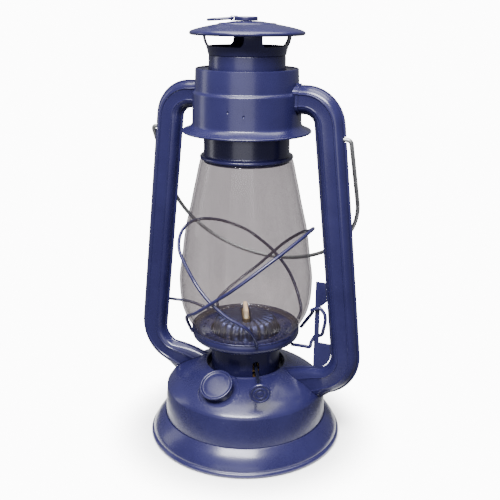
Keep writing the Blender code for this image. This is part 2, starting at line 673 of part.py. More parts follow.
def build_globe(paint, glass):
    """Glass globe, the cup of its plate and the seat in the cup that it stands on."""
    make_object("globe", revolve(shell(globe_path(), GLOBE_WALL), MEDIUM_STEPS), glass)
    throat = DRUM_RADIUS + RUNNING_GAP
    depth = PLATE_RIM_FOOT_Z - PLATE_THROAT_Z
    path = [(PLATE_RADIUS, PLATE_RIM_Z)]
    for out, fall in PLATE_SHARES:
        path.append((blend(PLATE_THROAT_RADIUS, PLATE_RADIUS, out), PLATE_RIM_FOOT_Z + depth * fall))
    path.append((throat, PLATE_THROAT_Z))
    make_object("globe_plate", revolve(shell(path, -SHEET), MEDIUM_STEPS), paint)

    top = GLOBE_FOOT_Z - FIT_GAP
    rim = PLATE_RADIUS - SHEET - FIT_GAP
    outline = [(throat, top - SHEET), (rim, top - SHEET), (rim, top), (throat, top)]
    deck = make_object("globe_seat", revolve(outline, MEDIUM_STEPS), paint)
    for index in range(SEAT_HOLES):
        hole = round_bar("hole", SCREEN_HOLE_RADIUS, top - OVERRUN, top + OVERRUN, 6)
        way = azimuth_way(math.tau * (index + 0.3) / SEAT_HOLES)
        hole.data.transform(Matrix.Translation(way * PLATE_THROAT_RADIUS))
        cut(deck, hole)


def ring_point(angle, side):
    """Point of a guard ring at an angle in plan, side 1 for the ring that is high at +X."""
    radius = GUARD_RADIUS + (GUARD_WIRE * 2 + FIT_GAP if side > 0 else 0)
    rise = side * GUARD_RISE * math.cos(angle)
    return Vector((math.cos(angle) * radius, math.sin(angle) * radius, GUARD_CENTRE_Z + rise))


def guard_ring(name, side, paint):
    """One sloping guard ring with its two ends turned in to the plate's rim."""
    first, last = GUARD_BACK_END, math.tau - GUARD_FRONT_END
    if side > 0:
        first, last = math.pi + GUARD_FRONT_END, math.pi * 3 - GUARD_BACK_END
    points = [ring_point(blend(first, last, index / GUARD_STEPS), side) for index in range(GUARD_STEPS + 1)]
    seat = PLATE_RADIUS + FIT_GAP + GUARD_WIRE
    for where, angle in ((0, first), (len(points) + 1, last)):
        way = Vector((math.cos(angle), math.sin(angle), 0))
        points.insert(where, way * seat + Vector((0, 0, blend(PLATE_RIM_FOOT_Z, PLATE_RIM_Z, 0.5))))
    make_wire(name, points, GUARD_WIRE, paint)


def lever_knots():
    """Places that the lift loop's wire passes, from the plate's rim round the band to under the plate."""
    rim = PLATE_RADIUS + FIT_GAP + LEVER_WIRE
    out = BRACKET_THICKNESS / 2 + FIT_GAP + LEVER_WIRE
    band_left = BRACKET_EDGE_X
    band_right = BRACKET_EDGE_X + BRACKET_BAND
    height = LEVER_TOP_Z - LEVER_LOW_Z
    root_z = blend(PLATE_RIM_FOOT_Z, PLATE_RIM_Z, 0.6)
    return [
        (math.cos(LEVER_START) * rim, math.sin(LEVER_START) * rim, root_z),
        (LEVER_LEFT_X - LEVER_WIRE / 2, out / 2, LEVER_TOP_Z - height * 0.22),
        (LEVER_LEFT_X, -out, LEVER_TOP_Z - height * 0.07),
        (band_right, -out, LEVER_TOP_Z + LEVER_WIRE / 2),
        (blend(band_right, LEVER_RIGHT_X, 0.6), -out, LEVER_TOP_Z - height * 0.06),
        (LEVER_RIGHT_X, -out - FIT_GAP, LEVER_TOP_Z - height * 0.22),
        (LEVER_RIGHT_X, -out - FIT_GAP, blend(LEVER_LOW_Z, LEVER_TOP_Z, 0.55)),
        (LEVER_RIGHT_X - LEVER_WIRE, -out * 0.7, blend(LEVER_LOW_Z, LEVER_TOP_Z, 0.3)),
        (LEVER_RIGHT_X - LEVER_WIRE * 2, out * 0.2, blend(LEVER_LOW_Z, LEVER_TOP_Z, 0.1)),
        (band_right, out, LEVER_LOW_Z),
        (band_left, out + FIT_GAP, LEVER_LOW_Z - LEVER_WIRE),
        (LEVER_LEFT_X - LEVER_WIRE / 2, out * 0.4, blend(LEVER_END_Z, LEVER_LOW_Z, 0.4)),
        (LEVER_LEFT_X - LEVER_WIRE, 0, LEVER_END_Z + LEVER_WIRE / 2),
        (blend(LEVER_END_RADIUS, LEVER_LEFT_X, 0.6), 0, LEVER_END_Z + LEVER_WIRE / 4),
        (LEVER_END_RADIUS, 0, LEVER_END_Z),
    ]


def build_guards(paint):
    """Two guard rings, the lift loop on the right and the guide behind the left tube."""
    guard_ring("guard_wire_left", 1, paint)
    guard_ring("guard_wire_right", -1, paint)
    make_wire("lift_lever", smooth_route(lever_knots(), 3), LEVER_WIRE, paint)

    rim = PLATE_RADIUS + FIT_GAP + GUARD_WIRE
    behind = TUBE_HALF_DEPTH + RUNNING_GAP + GUARD_WIRE
    inner_x = tube_centre_x(GUIDE_Z) - TUBE_HALF_WIDTH
    root_z = blend(PLATE_RIM_FOOT_Z, PLATE_RIM_Z, 0.6)
    knots = [(math.cos(GUIDE_START) * rim, math.sin(GUIDE_START) * rim, root_z),
             (-blend(rim, inner_x, 0.5), behind * 1.7, blend(root_z, GUIDE_Z, 0.7)),
             (-inner_x, behind * 1.1, GUIDE_Z),
             (-inner_x - TUBE_HALF_WIDTH, behind, GUIDE_Z)]
    make_wire("guide_wire", smooth_route(knots, 4), GUARD_WIRE, paint)


# Side tubes and the bracket

def tube_centre_x(height):
    """Centre line's X of the straight run at a height."""
    return TUBE_LEAN_X + (TUBE_LEAN_Z - height) * math.tan(TUBE_LEAN)


def tube_stations(overrun):
    """Places, headings and section shares along the right tube's centre line, top to foot."""
    stations = []
    end_heading = -(math.pi / 2 - TUBE_LEAN)
    centre_z = TUBE_TOP_Z - TUBE_TOP_BEND
    arc_end_z = centre_z + TUBE_TOP_BEND * math.cos(end_heading)
    centre_x = tube_centre_x(arc_end_z) + TUBE_TOP_BEND * math.sin(end_heading)
    stations.append((BELL_RADIUS - overrun, TUBE_TOP_Z, 0, TUBE_TOP_SHARE))
    steps = 6
    for index in range(steps + 1):
        heading = end_heading * index / steps
        share = blend(TUBE_TOP_SHARE, 1, index / steps)
        stations.append((centre_x - math.sin(heading) * TUBE_TOP_BEND,
                         centre_z + math.cos(heading) * TUBE_TOP_BEND, heading, share))
    low_centre_z = TUBE_LOW_BEND_Z
    start_z = low_centre_z + TUBE_LOW_BEND * math.cos(end_heading)
    low_centre_x = tube_centre_x(start_z) + TUBE_LOW_BEND * math.sin(end_heading)
    foot_heading = -(math.pi - TUBE_FOOT_FALL)
    for index in range(steps + 1):
        heading = blend(end_heading, foot_heading, index / steps)
        share = blend(1, TUBE_FOOT_SHARE, index / steps)
        stations.append((low_centre_x - math.sin(heading) * TUBE_LOW_BEND,
                         low_centre_z + math.cos(heading) * TUBE_LOW_BEND, heading, share))
    last_x, last_z, heading, share = stations[-1]
    run = (last_x - LIP_RADIUS + overrun) / math.cos(TUBE_FOOT_FALL)
    stations.append((last_x + math.cos(heading) * run, last_z + math.sin(heading) * run, heading, share))
    return stations


def tube_section(growth):
    """Outside of the tube's section, two pressed halves with a seam fin at each side."""
    half = TUBE_HALF_WIDTH + growth
    seam = TUBE_SEAM_THICKNESS / 2 + growth
    depth = TUBE_HALF_DEPTH + growth
    quarter = [(half, seam), (half - TUBE_SEAM_WIDTH, seam)]
    quarter += [(half * across, depth * deep) for across, deep in TUBE_SECTION_SHARES]
    half_loop = quarter + [(-across, deep) for across, deep in quarter[::-1]]
    return half_loop + [(across, -deep) for across, deep in half_loop[::-1]]


def tube_bore():
    """Inside of the tube's section."""
    quarter = [(TUBE_HALF_WIDTH * across, (TUBE_HALF_DEPTH - TUBE_WALL) * deep)
               for across, deep in TUBE_BORE_SHARES]
    upper = quarter + [(-across, deep) for across, deep in quarter[:0:-1]] + [(-quarter[0][0], 0)]
    lower = [(across, -deep) for across, deep in upper[-2:0:-1]]
    return upper + lower


def tube_skin(name, section, overrun):
    """Body of a section carried along the right tube's centre line."""
    rings = []
    for place_x, place_z, heading, share in tube_stations(overrun):
        normal_x = -math.sin(heading) * share
        normal_z = math.cos(heading) * share
        rings.append([(place_x + normal_x * across, deep * share, place_z + normal_z * across)
                      for across, deep in section])
    return make_object(name, loft(rings), None)


def chamber_blank(name, growth):
    """Solid of the air chamber's outside, grown by a gap, for trimming the tubes."""
    path = offset_path(chamber_path(), -growth)
    return solid_of_turn(name, path, LARGE_STEPS)


def build_tubes(paint):
    """The two hollow side tubes, trimmed to the chamber and to the tank's dome."""
    right = tube_skin("side_tube_right", tube_section(0), 0)
    cut(right, tube_skin("bore", tube_bore(), OVERRUN))
    cut(right, chamber_blank("chamber trim", FIT_GAP))
    cut(right, tank_blank("dome trim", FIT_GAP))
    hole = round_bar("bail hole", BAIL_WIRE + RUNNING_GAP, 0, TUBE_HALF_WIDTH * 2, 10)
    centre = Vector((tube_centre_x(BAIL_PIVOT_Z), 0, BAIL_PIVOT_Z))
    cut(right, placed_on_axis(hole, centre, (1, 0, 0)))
    right.data.materials.append(paint)

    left = bpy.data.objects.new("side_tube_left", right.data.copy())
    bpy.context.scene.collection.objects.link(left)
    left.data.transform(Matrix.Scale(-1, 4, (1, 0, 0)))
    left.data.flip_normals()


def build_bracket(paint):
    """Sheet bracket in the right tube's bend, with the band that the lift loop slides on."""
    band_right = BRACKET_EDGE_X + BRACKET_BAND
    slope_top = BRACKET_WINDOW_TOP_Z + BRACKET_WINDOW_SLOPE
    bend = [(x, z) for x, z, _, _ in tube_stations(0)[-2:-8:-1]]
    foot_x, foot_z = bend[0]
    outline = [(BRACKET_EDGE_X, foot_z - (foot_x - BRACKET_EDGE_X) * math.tan(TUBE_FOOT_FALL))]
    outline += bend
    outline += [(tube_centre_x(BRACKET_WINDOW_BOTTOM_Z), BRACKET_WINDOW_BOTTOM_Z),
                (band_right, BRACKET_WINDOW_BOTTOM_Z), (band_right, BRACKET_WINDOW_TOP_Z),
                (band_right + BRACKET_WINDOW_SLOPE, slope_top), (tube_centre_x(slope_top), slope_top),
                (tube_centre_x(BRACKET_TOP_Z), BRACKET_TOP_Z), (BRACKET_EDGE_X, BRACKET_TOP_Z)]
    body = prism(outline, -BRACKET_THICKNESS / 2, BRACKET_THICKNESS / 2)
    bracket = make_object("lift_bracket", body, paint)
    bracket.data.transform(Matrix.Rotation(math.pi / 2, 4, 'X'))
    cut(bracket, tube_skin("tube trim", tube_section(FIT_GAP), 0))


# Air chamber

def chamber_path():
    """Outside of the chamber from its flange to its top edge."""
    edge = CHAMBER_FLANGE_EDGE
    return [(CHAMBER_FLANGE_RADIUS - edge / 4, CHAMBER_FLANGE_Z), (CHAMBER_FLANGE_RADIUS, CHAMBER_FLANGE_Z + edge / 3),
            (CHAMBER_FLANGE_RADIUS - edge / 4, CHAMBER_FLANGE_Z + edge),
            (CHAMBER_LOW_RADIUS + SHEET, CHAMBER_LOW_Z - SHEET), (CHAMBER_LOW_RADIUS, CHAMBER_LOW_Z),
            (CHAMBER_LOW_RADIUS - SHEET / 2, CHAMBER_LEDGE_Z),
            (CHAMBER_HIGH_RADIUS + SHEET / 2, CHAMBER_LEDGE_Z + CHAMBER_LEDGE_HEIGHT),
            (CHAMBER_HIGH_RADIUS - SHEET / 4, CHAMBER_TOP_Z)]


def build_chamber(paint):
    """Pressed air chamber with its ports, the guide ring in its mouth and the intake screen."""
    path = chamber_path()
    chamber = make_object("air_chamber", revolve(shell(path, SHEET), LARGE_STEPS), paint)
    for side in (0, 1):
        port = tube_skin("port", tube_bore(), 0)
        port.data.transform(Matrix.Rotation(math.pi * side, 4, 'Z'))
        cut(chamber, port)

    wall_inner = CHAMBER_LOW_RADIUS - SHEET * 1.6 - FIT_GAP
    low = CHAMBER_LOW_Z + SHEET
    outline = [(CHAMBER_BORE_RADIUS, low), (wall_inner, low), (wall_inner, low + SHEET * 3),
               (wall_inner - SHEET, low + SHEET * 3), (wall_inner - SHEET, low + SHEET),
               (CHAMBER_BORE_RADIUS, low + SHEET)]
    make_object("chamber_floor", revolve(outline, LARGE_STEPS), paint)

    bore = CHIMNEY_RADIUS + RUNNING_GAP
    rim = CHAMBER_HIGH_RADIUS - SHEET * 1.4 - FIT_GAP
    top = CHAMBER_TOP_Z - SHEET
    outline = [(bore, top - SHEET), (rim, top - SHEET), (rim, top), (bore, top)]
    screen = make_object("intake_screen", revolve(outline, LARGE_STEPS), paint)
    circle = blend(bore, rim, 0.5)
    for index in range(SCREEN_HOLES):
        hole = round_bar("hole", SCREEN_HOLE_RADIUS, top - OVERRUN, top + OVERRUN, 6)
        hole.data.transform(Matrix.Translation(azimuth_way(math.tau * (index + 0.3) / SCREEN_HOLES) * circle))
        cut(screen, hole)


# Chimney and hood

def build_chimney(paint, spring_steel):
    """Bell on the globe's mouth, chimney tube and the spring that holds them down."""
    bead_low = GLOBE_MOUTH_Z + FIT_GAP
    bead_high = bead_low + BELL_BEAD_HEIGHT
    lip = GLOBE_MOUTH_RADIUS - GLOBE_WALL - RUNNING_GAP - SHEET / 2
    path = [(lip, bead_low - BELL_LIP), (lip, bead_low), (BELL_BEAD_RADIUS - SHEET / 2, bead_low),
            (BELL_BEAD_RADIUS, blend(bead_low, bead_high, 0.5)), (BELL_BEAD_RADIUS - SHEET / 2, bead_high),
            (BELL_RADIUS, bead_high + SHEET), (BELL_RADIUS, BELL_SHOULDER_Z),
            (BELL_RADIUS - SHEET, BELL_SHOULDER_Z + SHEET), (CHIMNEY_RADIUS, BELL_SHOULDER_Z + BELL_CONE_HEIGHT)]
    inner = CHIMNEY_RADIUS - SHEET
    top = BELL_SHOULDER_Z + BELL_CONE_HEIGHT
    inside = [(inner, top), (BELL_RADIUS - SHEET * 2, BELL_SHOULDER_Z + SHEET / 2), (BELL_RADIUS - SHEET, BELL_SHOULDER_Z - SHEET / 2),
              (BELL_RADIUS - SHEET, bead_high), (lip - SHEET, bead_low + SHEET), (lip - SHEET, bead_low - BELL_LIP)]
    make_object("globe_bell", revolve(path + inside, MEDIUM_STEPS), paint)

    low = top + FIT_GAP
    outline = [(inner, low), (CHIMNEY_RADIUS, low), (CHIMNEY_RADIUS, CHIMNEY_TOP_Z), (inner, CHIMNEY_TOP_Z)]
    make_object("chimney_tube", revolve(outline, MEDIUM_STEPS), paint)

    run = BELL_RADIUS - SHEET - CHIMNEY_RADIUS
    rise = BELL_CONE_HEIGHT - SHEET
    chord_radius = SPRING_RADIUS * math.cos(math.pi / SPRING_POINTS_PER_TURN)
    seat = top - rise * (chord_radius - CHIMNEY_RADIUS) / run
    spring_low = seat + (SPRING_WIRE + FIT_GAP) * math.hypot(run, rise) / run
    spring_high = CHAMBER_TOP_Z - SHEET * 2 - FIT_GAP - SPRING_WIRE
    count = SPRING_TURNS * SPRING_POINTS_PER_TURN
    points = []
    for index in range(count + 1):
        angle = math.tau * index / SPRING_POINTS_PER_TURN
        points.append((math.cos(angle) * SPRING_RADIUS, math.sin(angle) * SPRING_RADIUS,
                       blend(spring_low, spring_high, index / count)))
    make_wire("chimney_spring", points, SPRING_WIRE, spring_steel)
    pitch = (spring_high - spring_low) / SPRING_TURNS
    print("chimney spring: least gap between turns %.2f mm" % ((pitch - SPRING_WIRE * 2) * 1000))


def build_crown(paint):
    """Crown of four legs on the chimney, with the round-cornered windows between them."""
    low = CHIMNEY_TOP_Z + FIT_GAP
    high = hood_under(CROWN_RADIUS) - FIT_GAP
    path = []
    for out, up in CROWN_SHARES:
        path.append((blend(CHIMNEY_RADIUS, CROWN_RADIUS, out), blend(low, high, up)))
    inside = offset_path(path, SHEET)
    spigot = CHIMNEY_RADIUS - SHEET - FIT_GAP
    inside = inside[1:][::-1] + [(spigot - SHEET, low), (spigot - SHEET, low - OVERRUN), (spigot, low - OVERRUN), (spigot, low)]
    crown = make_object("crown", revolve(path + inside, LARGE_STEPS), paint)
    half = math.pi / CROWN_LEGS - CROWN_LEG_HALF_ANGLE
    for index in range(CROWN_LEGS):
        middle = CROWN_AZIMUTH + math.tau * (index + 0.5) / CROWN_LEGS
        reach = CROWN_RADIUS * 1.5
        half_chord = reach * math.sin(half)
        depth = reach * math.cos(half)
        corner = SHEET * 3
        rows = []
        for radius_share in (0.35, 1.0):
            wide = half_chord * radius_share
            away = depth * radius_share
            scale = radius_share
            rows.append([(away, -wide, high + OVERRUN), (away, wide, high + OVERRUN),
                         (away, wide, CROWN_WINDOW_Z + corner), (away, wide - corner * scale / 3, CROWN_WINDOW_Z + corner / 3),
                         (away, wide - corner * scale, CROWN_WINDOW_Z), (away, -wide + corner * scale, CROWN_WINDOW_Z),
                         (away, -wide + corner * scale / 3, CROWN_WINDOW_Z + corner / 3), (away, -wide, CROWN_WINDOW_Z + corner)])
        window = make_object("crown window", loft(rows), None)
        window.data.transform(Matrix.Rotation(middle - math.pi / 2, 4, 'Z'))
        cut(crown, window)


def hood_path():
    """Top of the hood from its rolled rim to its centre."""
    rim = HOOD_RIM_HEIGHT
    path = [(HOOD_RADIUS - rim / 3, HOOD_RIM_Z), (HOOD_RADIUS - rim / 8, HOOD_RIM_Z + rim / 4),
            (HOOD_RADIUS, HOOD_RIM_Z + rim * 0.65)]
    for out, up in HOOD_SHARES:
        path.append((HOOD_RADIUS * out, blend(HOOD_RIM_Z + rim, HOOD_TOP_Z, up)))
    return path


def hood_under(radius):
    """Height of the hood's underside at a radius."""
    path = offset_path(hood_path(), SHEET)
    for (outer_r, outer_z), (inner_r, inner_z) in zip(path, path[1:]):
        if inner_r <= radius <= outer_r:
            return blend(outer_z, inner_z, (outer_r - radius) / (outer_r - inner_r))
    return path[-1][1]


def build_hood(paint, bright):
    """Hood disc, its boss and the pull ring."""
    path = hood_path() + [(0, HOOD_TOP_Z)]
    inside = offset_path(path[:-1], SHEET)
    inside.append((0, HOOD_TOP_Z - SHEET))
    make_object("hood", revolve(path[::-1] + inside, LARGE_STEPS, closed=False), paint)

    boss_low = HOOD_TOP_Z + FIT_GAP
    outline = [(0, boss_low), (BOSS_RADIUS, boss_low), (BOSS_RADIUS, BOSS_TOP_Z - SHEET / 2),
               (BOSS_RADIUS - SHEET / 2, BOSS_TOP_Z), (0, BOSS_TOP_Z)]
    boss = make_object("hood_boss", revolve(outline, SMALL_STEPS, closed=False), paint)
    turn = Matrix.Rotation(RING_AZIMUTH - math.pi / 2, 4, 'Z')
    lug_z = blend(boss_low, LUG_TOP_Z, 0.5)
    pin_x = BOSS_RADIUS + RING_WIRE
    lug_out = pin_x + RING_WIRE + SHEET
    body = prism([(BOSS_RADIUS - RING_LUG, -RING_LUG), (lug_out, -RING_LUG),
                  (lug_out, RING_LUG), (BOSS_RADIUS - RING_LUG, RING_LUG)], boss_low, LUG_TOP_Z)
    lug = make_object("lug", body, None)
    bore = round_bar("ring bore", RING_WIRE + FIT_GAP, -RING_WIDTH, RING_WIDTH, 8)
    lug.data.transform(turn)
    cut(boss, lug, 'UNION')
    placed_on_axis(bore, (pin_x, 0, lug_z), (0, 1, 0))
    bore.data.transform(turn)
    cut(boss, bore)

    half = RING_WIDTH / 2
    corner = RING_WIRE * 3
    points = [(pin_x, 0), (pin_x, half - corner), (pin_x + corner * 0.3, half - corner * 0.3), (pin_x + corner, half)]
    far = pin_x + RING_LENGTH
    for index in range(7):
        angle = math.pi / 2 - math.pi * index / 6
        points.append((far - half + math.cos(angle) * half, math.sin(angle) * half))
    points += [(pin_x + corner, -half), (pin_x + corner * 0.3, -half + corner * 0.3), (pin_x, -half + corner)]
    points = [(x - pin_x, y, 0) for x, y in points]
    ring = make_wire("hood_ring", points, RING_WIRE, bright, resolution=1, cyclic=True)
    drop = Matrix.Rotation(RING_DROP, 4, 'Y')
    ring.data.transform(turn @ drop)
    ring.location = turn @ Vector((pin_x, 0, lug_z))


# Bail

def bail_points():
    """Bail from one tube's hole over its bow to the other, leaning back from the pivots."""
    outer = tube_centre_x(BAIL_PIVOT_Z) + TUBE_HALF_WIDTH
    side = outer + BAIL_STAND_OFF + BAIL_WIRE
    hook = outer - BAIL_HOOK
    bend = BAIL_WIRE * 2
    flat = [(hook, 0), (side - bend, 0), (side - bend * 0.3, bend * 0.3), (side, bend)]
    bow = side
    straight = BAIL_LENGTH - bow * 0.9
    flat.append((side, straight * 0.6))
    steps = 12
    for index in range(1, steps):
        angle = math.pi / 2 * index / steps
        flat.append((bow * math.cos(angle), straight + (BAIL_LENGTH - straight) * math.sin(angle)))
    flat.append((0, BAIL_LENGTH))
    whole = flat + [(-across, along) for across, along in flat[-2::-1]]
    lean_y = math.cos(BAIL_LEAN)
    lean_z = -math.sin(BAIL_LEAN)
    return [(across, along * lean_y, BAIL_PIVOT_Z + along * lean_z) for across, along in whole]


def build_bail(bright):
    """Wire bail hooked into the tubes."""
    bail = make_wire("bail", bail_points(), BAIL_WIRE, bright)
    return bail


def main():
    """Build the lantern from its foot to its bail."""
    clear_scene()
    paint = make_material("blue_paint", (0.045, 0.048, 0.135), 0.55, 0.28)
    brass = make_material("brass", (0.55, 0.40, 0.18), 0.9, 0.35)
    steel = make_material("burner_steel", (0.10, 0.11, 0.20), 0.7, 0.35)
    glass = make_material("glass", (0.80, 0.78, 0.78), 0.0, 0.05, 0.35)
    cotton = make_material("cotton", (0.82, 0.74, 0.58), 0.0, 0.9)
    cork = make_material("cork", (0.45, 0.30, 0.18), 0.0, 0.9)
    bright = make_material("bright_wire", (0.62, 0.62, 0.60), 0.9, 0.35)
    build_tank(paint)
    build_filler(paint, cork)
    build_burner(steel, brass)
    build_wick_works(steel, brass, cotton)
    build_globe(paint, glass)
    build_guards(paint)
    build_tubes(paint)
    build_bracket(paint)
    build_chamber(paint)
    build_chimney(paint, bright)
    build_crown(paint)
    build_hood(paint, bright)
    build_bail(bright)


main()
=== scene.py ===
"""Looks of a twelve-inch tubular hurricane lantern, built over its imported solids.

Every size is in metres in the lantern's own frame: +Z up, the foot's centre at the origin, the
side tubes along X, the wick knob and the filler cap towards -Y.
"""
from __future__ import annotations

import logging
import math
from dataclasses import dataclass, field
from enum import Enum
from typing import Iterable, Sequence

import bmesh
import bpy
from mathutils import Matrix, Vector

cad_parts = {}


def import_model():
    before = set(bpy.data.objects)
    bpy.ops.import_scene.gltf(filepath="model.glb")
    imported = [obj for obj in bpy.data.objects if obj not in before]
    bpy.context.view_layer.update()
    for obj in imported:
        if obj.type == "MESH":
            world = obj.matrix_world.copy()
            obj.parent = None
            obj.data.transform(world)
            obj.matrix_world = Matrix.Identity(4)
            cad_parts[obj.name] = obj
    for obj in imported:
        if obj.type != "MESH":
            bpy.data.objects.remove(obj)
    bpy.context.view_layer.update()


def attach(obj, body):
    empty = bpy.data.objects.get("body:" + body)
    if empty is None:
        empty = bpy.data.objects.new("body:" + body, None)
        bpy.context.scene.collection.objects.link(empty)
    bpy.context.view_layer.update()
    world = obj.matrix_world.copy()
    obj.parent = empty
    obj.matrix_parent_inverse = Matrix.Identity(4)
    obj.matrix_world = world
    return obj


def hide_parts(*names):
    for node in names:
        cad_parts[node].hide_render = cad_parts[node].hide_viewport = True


LOG = logging.getLogger("lantern")
SHEET = 0.0008  # pressed steel sheet
FIT_GAP = 0.0003  # between pieces that seat on each other
Outline = list[tuple[float, float]]
Triple = tuple[float, float, float]
Mesh = bmesh.types.BMesh


class Body(Enum):
    """Moving bodies that the pieces ride on."""

    FRAME = "lantern_frame"
    CARRIER = "globe_carrier"
    HOOD = "hood_assembly"
    PULL_RING = "pull_ring"
    BAIL = "carrying_bail"
    SPINDLE = "wick_spindle"
    WICK = "wick_tape"
    SEAL = "filler_seal"
    LID = "filler_lid"


class Grade(Enum):
    """How many facets go round a turned piece."""

    MEDIUM = 96
    LARGE = 144


# Shader nodes

class Value:
    """Output of a shader node that takes part in sums written as Python expressions."""

    def __init__(self, desk: "ShaderDesk", socket: bpy.types.NodeSocket) -> None:
        """Keep the socket and the desk that adds nodes for it."""
        self.desk = desk
        self.socket = socket

    def _math(self, operation: str, first: "Value | float", second: "Value | float") -> "Value":
        """Add one Math node.

        Args:
            operation: Name of the Math node's operation.
            first: Upper input.
            second: Lower input.

        Returns:
            The node's output.
        """
        return self.desk.node("ShaderNodeMath", {"operation": operation}, {0: first, 1: second})

    def __add__(self, other: "Value | float") -> "Value":
        """Sum."""
        return self._math("ADD", self, other)

    __radd__ = __add__

    def __sub__(self, other: "Value | float") -> "Value":
        """Difference."""
        return self._math("SUBTRACT", self, other)

    def __rsub__(self, other: float) -> "Value":
        """Difference with the number first."""
        return self._math("SUBTRACT", other, self)

    def __mul__(self, other: "Value | float") -> "Value":
        """Product."""
        return self._math("MULTIPLY", self, other)

    __rmul__ = __mul__

    def __pow__(self, other: float) -> "Value":
        """Power."""
        return self._math("POWER", self, other)

    def above(self, limit: float) -> "Value":
        """One where the value is over a limit, else zero."""
        return self._math("GREATER_THAN", self, limit)


class ShaderDesk:
    """One material and the nodes that are laid out for it."""

    def __init__(self, name: str) -> None:
        """Start a node material that has its Principled shader and output."""
        self.material = bpy.data.materials.new(name)
        self.material.use_nodes = True
        self.tree = self.material.node_tree
        self.shader = self.tree.nodes["Principled BSDF"]

    def node(self, kind: str, settings: dict | None = None, inputs: dict | None = None,
             output: int | str = 0) -> Value:
        """Add a node.

        Args:
            kind: Node type.
            settings: Properties set before its inputs, or a ramp's stops under "stops".
            inputs: Values or links by input name or place.
            output: The output to hand back.

        Returns:
            The chosen output.
        """
        made = self.tree.nodes.new(kind)
        for key, setting in (settings or {}).items():
            if key == "stops":
                self._set_stops(made.color_ramp, setting)
            else:
                setattr(made, key, setting)
        for key, value in (inputs or {}).items():
            self._feed(made.inputs[key], value)
        return Value(self, made.outputs[output])

    def _feed(self, socket: bpy.types.NodeSocket, value: "Value | float | Sequence[float]") -> None:
        """Link a value to a socket, or set the socket's own number."""
        if isinstance(value, Value):
            self.tree.links.new(value.socket, socket)
        else:
            socket.default_value = value

    @staticmethod
    def _set_stops(ramp: bpy.types.ColorRamp, stops: Sequence[tuple[float, tuple]]) -> None:
        """Lay a ramp's stops."""
        while len(ramp.elements) < len(stops):
            ramp.elements.new(0.5)
        for element, (place, colour) in zip(ramp.elements, stops):
            element.position = place
            element.color = (*colour, 1.0)

    def set(self, **sockets: "Value | float | Sequence[float]") -> None:
        """Set or link the Principled shader's sockets, named with underscores for spaces."""
        for key, value in sockets.items():
            self._feed(self.shader.inputs[key.replace("_", " ")], value)

    def place(self, scale: Sequence[float] = (1, 1, 1)) -> Value:
        """Object coordinates, stretched by a scale."""
        spot = self.node("ShaderNodeTexCoord", output="Object")
        return self.node("ShaderNodeMapping", inputs={"Vector": spot, "Scale": scale})

    def height(self) -> Value:
        """Height over the foot."""
        spot = self.node("ShaderNodeTexCoord", output="Object")
        return self.node("ShaderNodeSeparateXYZ", inputs={"Vector": spot}, output="Z")

    def noise(self, scale: float, detail: float = 3.0, stretch: Sequence[float] = (1, 1, 1)) -> Value:
        """Noise value over the surface."""
        return self.node("ShaderNodeTexNoise", inputs={
            "Vector": self.place(stretch), "Scale": scale, "Detail": detail})

    def blend(self, share: Value, low: Sequence[float], high: Sequence[float]) -> Value:
        """Colour between two colours by a share."""
        return self.node("ShaderNodeMix", {"data_type": "RGBA"},
                         {0: share, 6: (*low, 1.0) if not isinstance(low, Value) else low,
                          7: (*high, 1.0) if not isinstance(high, Value) else high}, output=2)

    def ramp(self, share: Value, stops: Sequence[tuple[float, tuple]]) -> Value:
        """Colour ramp over a share."""
        return self.node("ShaderNodeValToRGB", {"stops": stops}, {0: share})

    def bump(self, height: Value, strength: float, distance: float) -> None:
        """Let a height roughen the surface's normal."""
        self.set(Normal=self.node("ShaderNodeBump", inputs={
            "Height": height, "Strength": strength, "Distance": distance}))


@dataclass(frozen=True)
class Enamel:
    """Sprayed metallic enamel with fine flake, orange peel and a few dust specks."""

    name: str = "blue enamel"
    deep: Triple = (0.0078, 0.0070, 0.0340)
    light: Triple = (0.0140, 0.0132, 0.0560)
    metallic: float = 0.12
    roughness: float = 0.26
    coat: float = 0.16

    def make(self) -> bpy.types.Material:
        """Build the material."""
        desk = ShaderDesk(self.name)
        cloud = desk.noise(38.0, 4.0)
        flake = desk.noise(2600.0, 1.0)
        tone = desk.blend(cloud * 1.4 - 0.2, self.deep, self.light)
        speck = desk.noise(620.0, 0.0).above(0.86)
        colour = desk.blend(speck * 0.15, tone, (0.10, 0.11, 0.20))
        desk.set(Base_Color=colour, Metallic=self.metallic, Coat_Weight=self.coat, Coat_Roughness=0.14,
                 Roughness=self.roughness - 0.05 + cloud * 0.08 + flake * 0.05, Specular_IOR_Level=0.36)
        desk.bump(desk.noise(260.0, 2.0) + flake * 0.15, 0.10, 0.0004)
        return desk.material


@dataclass(frozen=True)
class BlownGlass:
    """Blown glass: see-through face on, streaked, paler at its foot where a cream reflection is painted in,
    and denser towards its edges.
    """

    name: str = "blown glass"
    veil: Triple = (0.046, 0.036, 0.040)
    edge: Triple = (0.016, 0.015, 0.022)
    # painted reflection: colour of the cream band painted over the glass's lower part
    painted_reflection_cream: Triple = (0.120, 0.098, 0.086)
    face_alpha: float = 0.20
    reflection_band_from: float = 0.092

    def make(self) -> bpy.types.Material:
        """Build the material."""
        desk = ShaderDesk(self.name)
        streak = desk.noise(52.0, 4.0, (1.0, 1.0, 0.035))
        # painted reflection: cream half mixed in over the foot, rising to full near 0.105 m and ending at
        # 0.108 m
        foot = desk.ramp((desk.height() - self.reflection_band_from) * 50.0, (
            (0.0, (0.55,) * 3), (0.55, (0.75,) * 3), (0.68, (1.0,) * 3), (0.80, (0.0,) * 3)))
        facing = desk.node("ShaderNodeLayerWeight", inputs={"Blend": 0.5}, output="Facing")
        rim = facing ** 6.0
        veil = desk.blend(foot, self.veil, self.painted_reflection_cream)
        desk.set(Base_Color=desk.blend(rim, veil, self.edge), Roughness=0.04,
                 Alpha=self.face_alpha - 0.11 + streak * 0.22 + rim * 0.55, IOR=1.5)
        desk.bump(desk.noise(14.0, 1.0, (1.0, 1.0, 0.3)), 0.12, 0.002)
        return desk.material


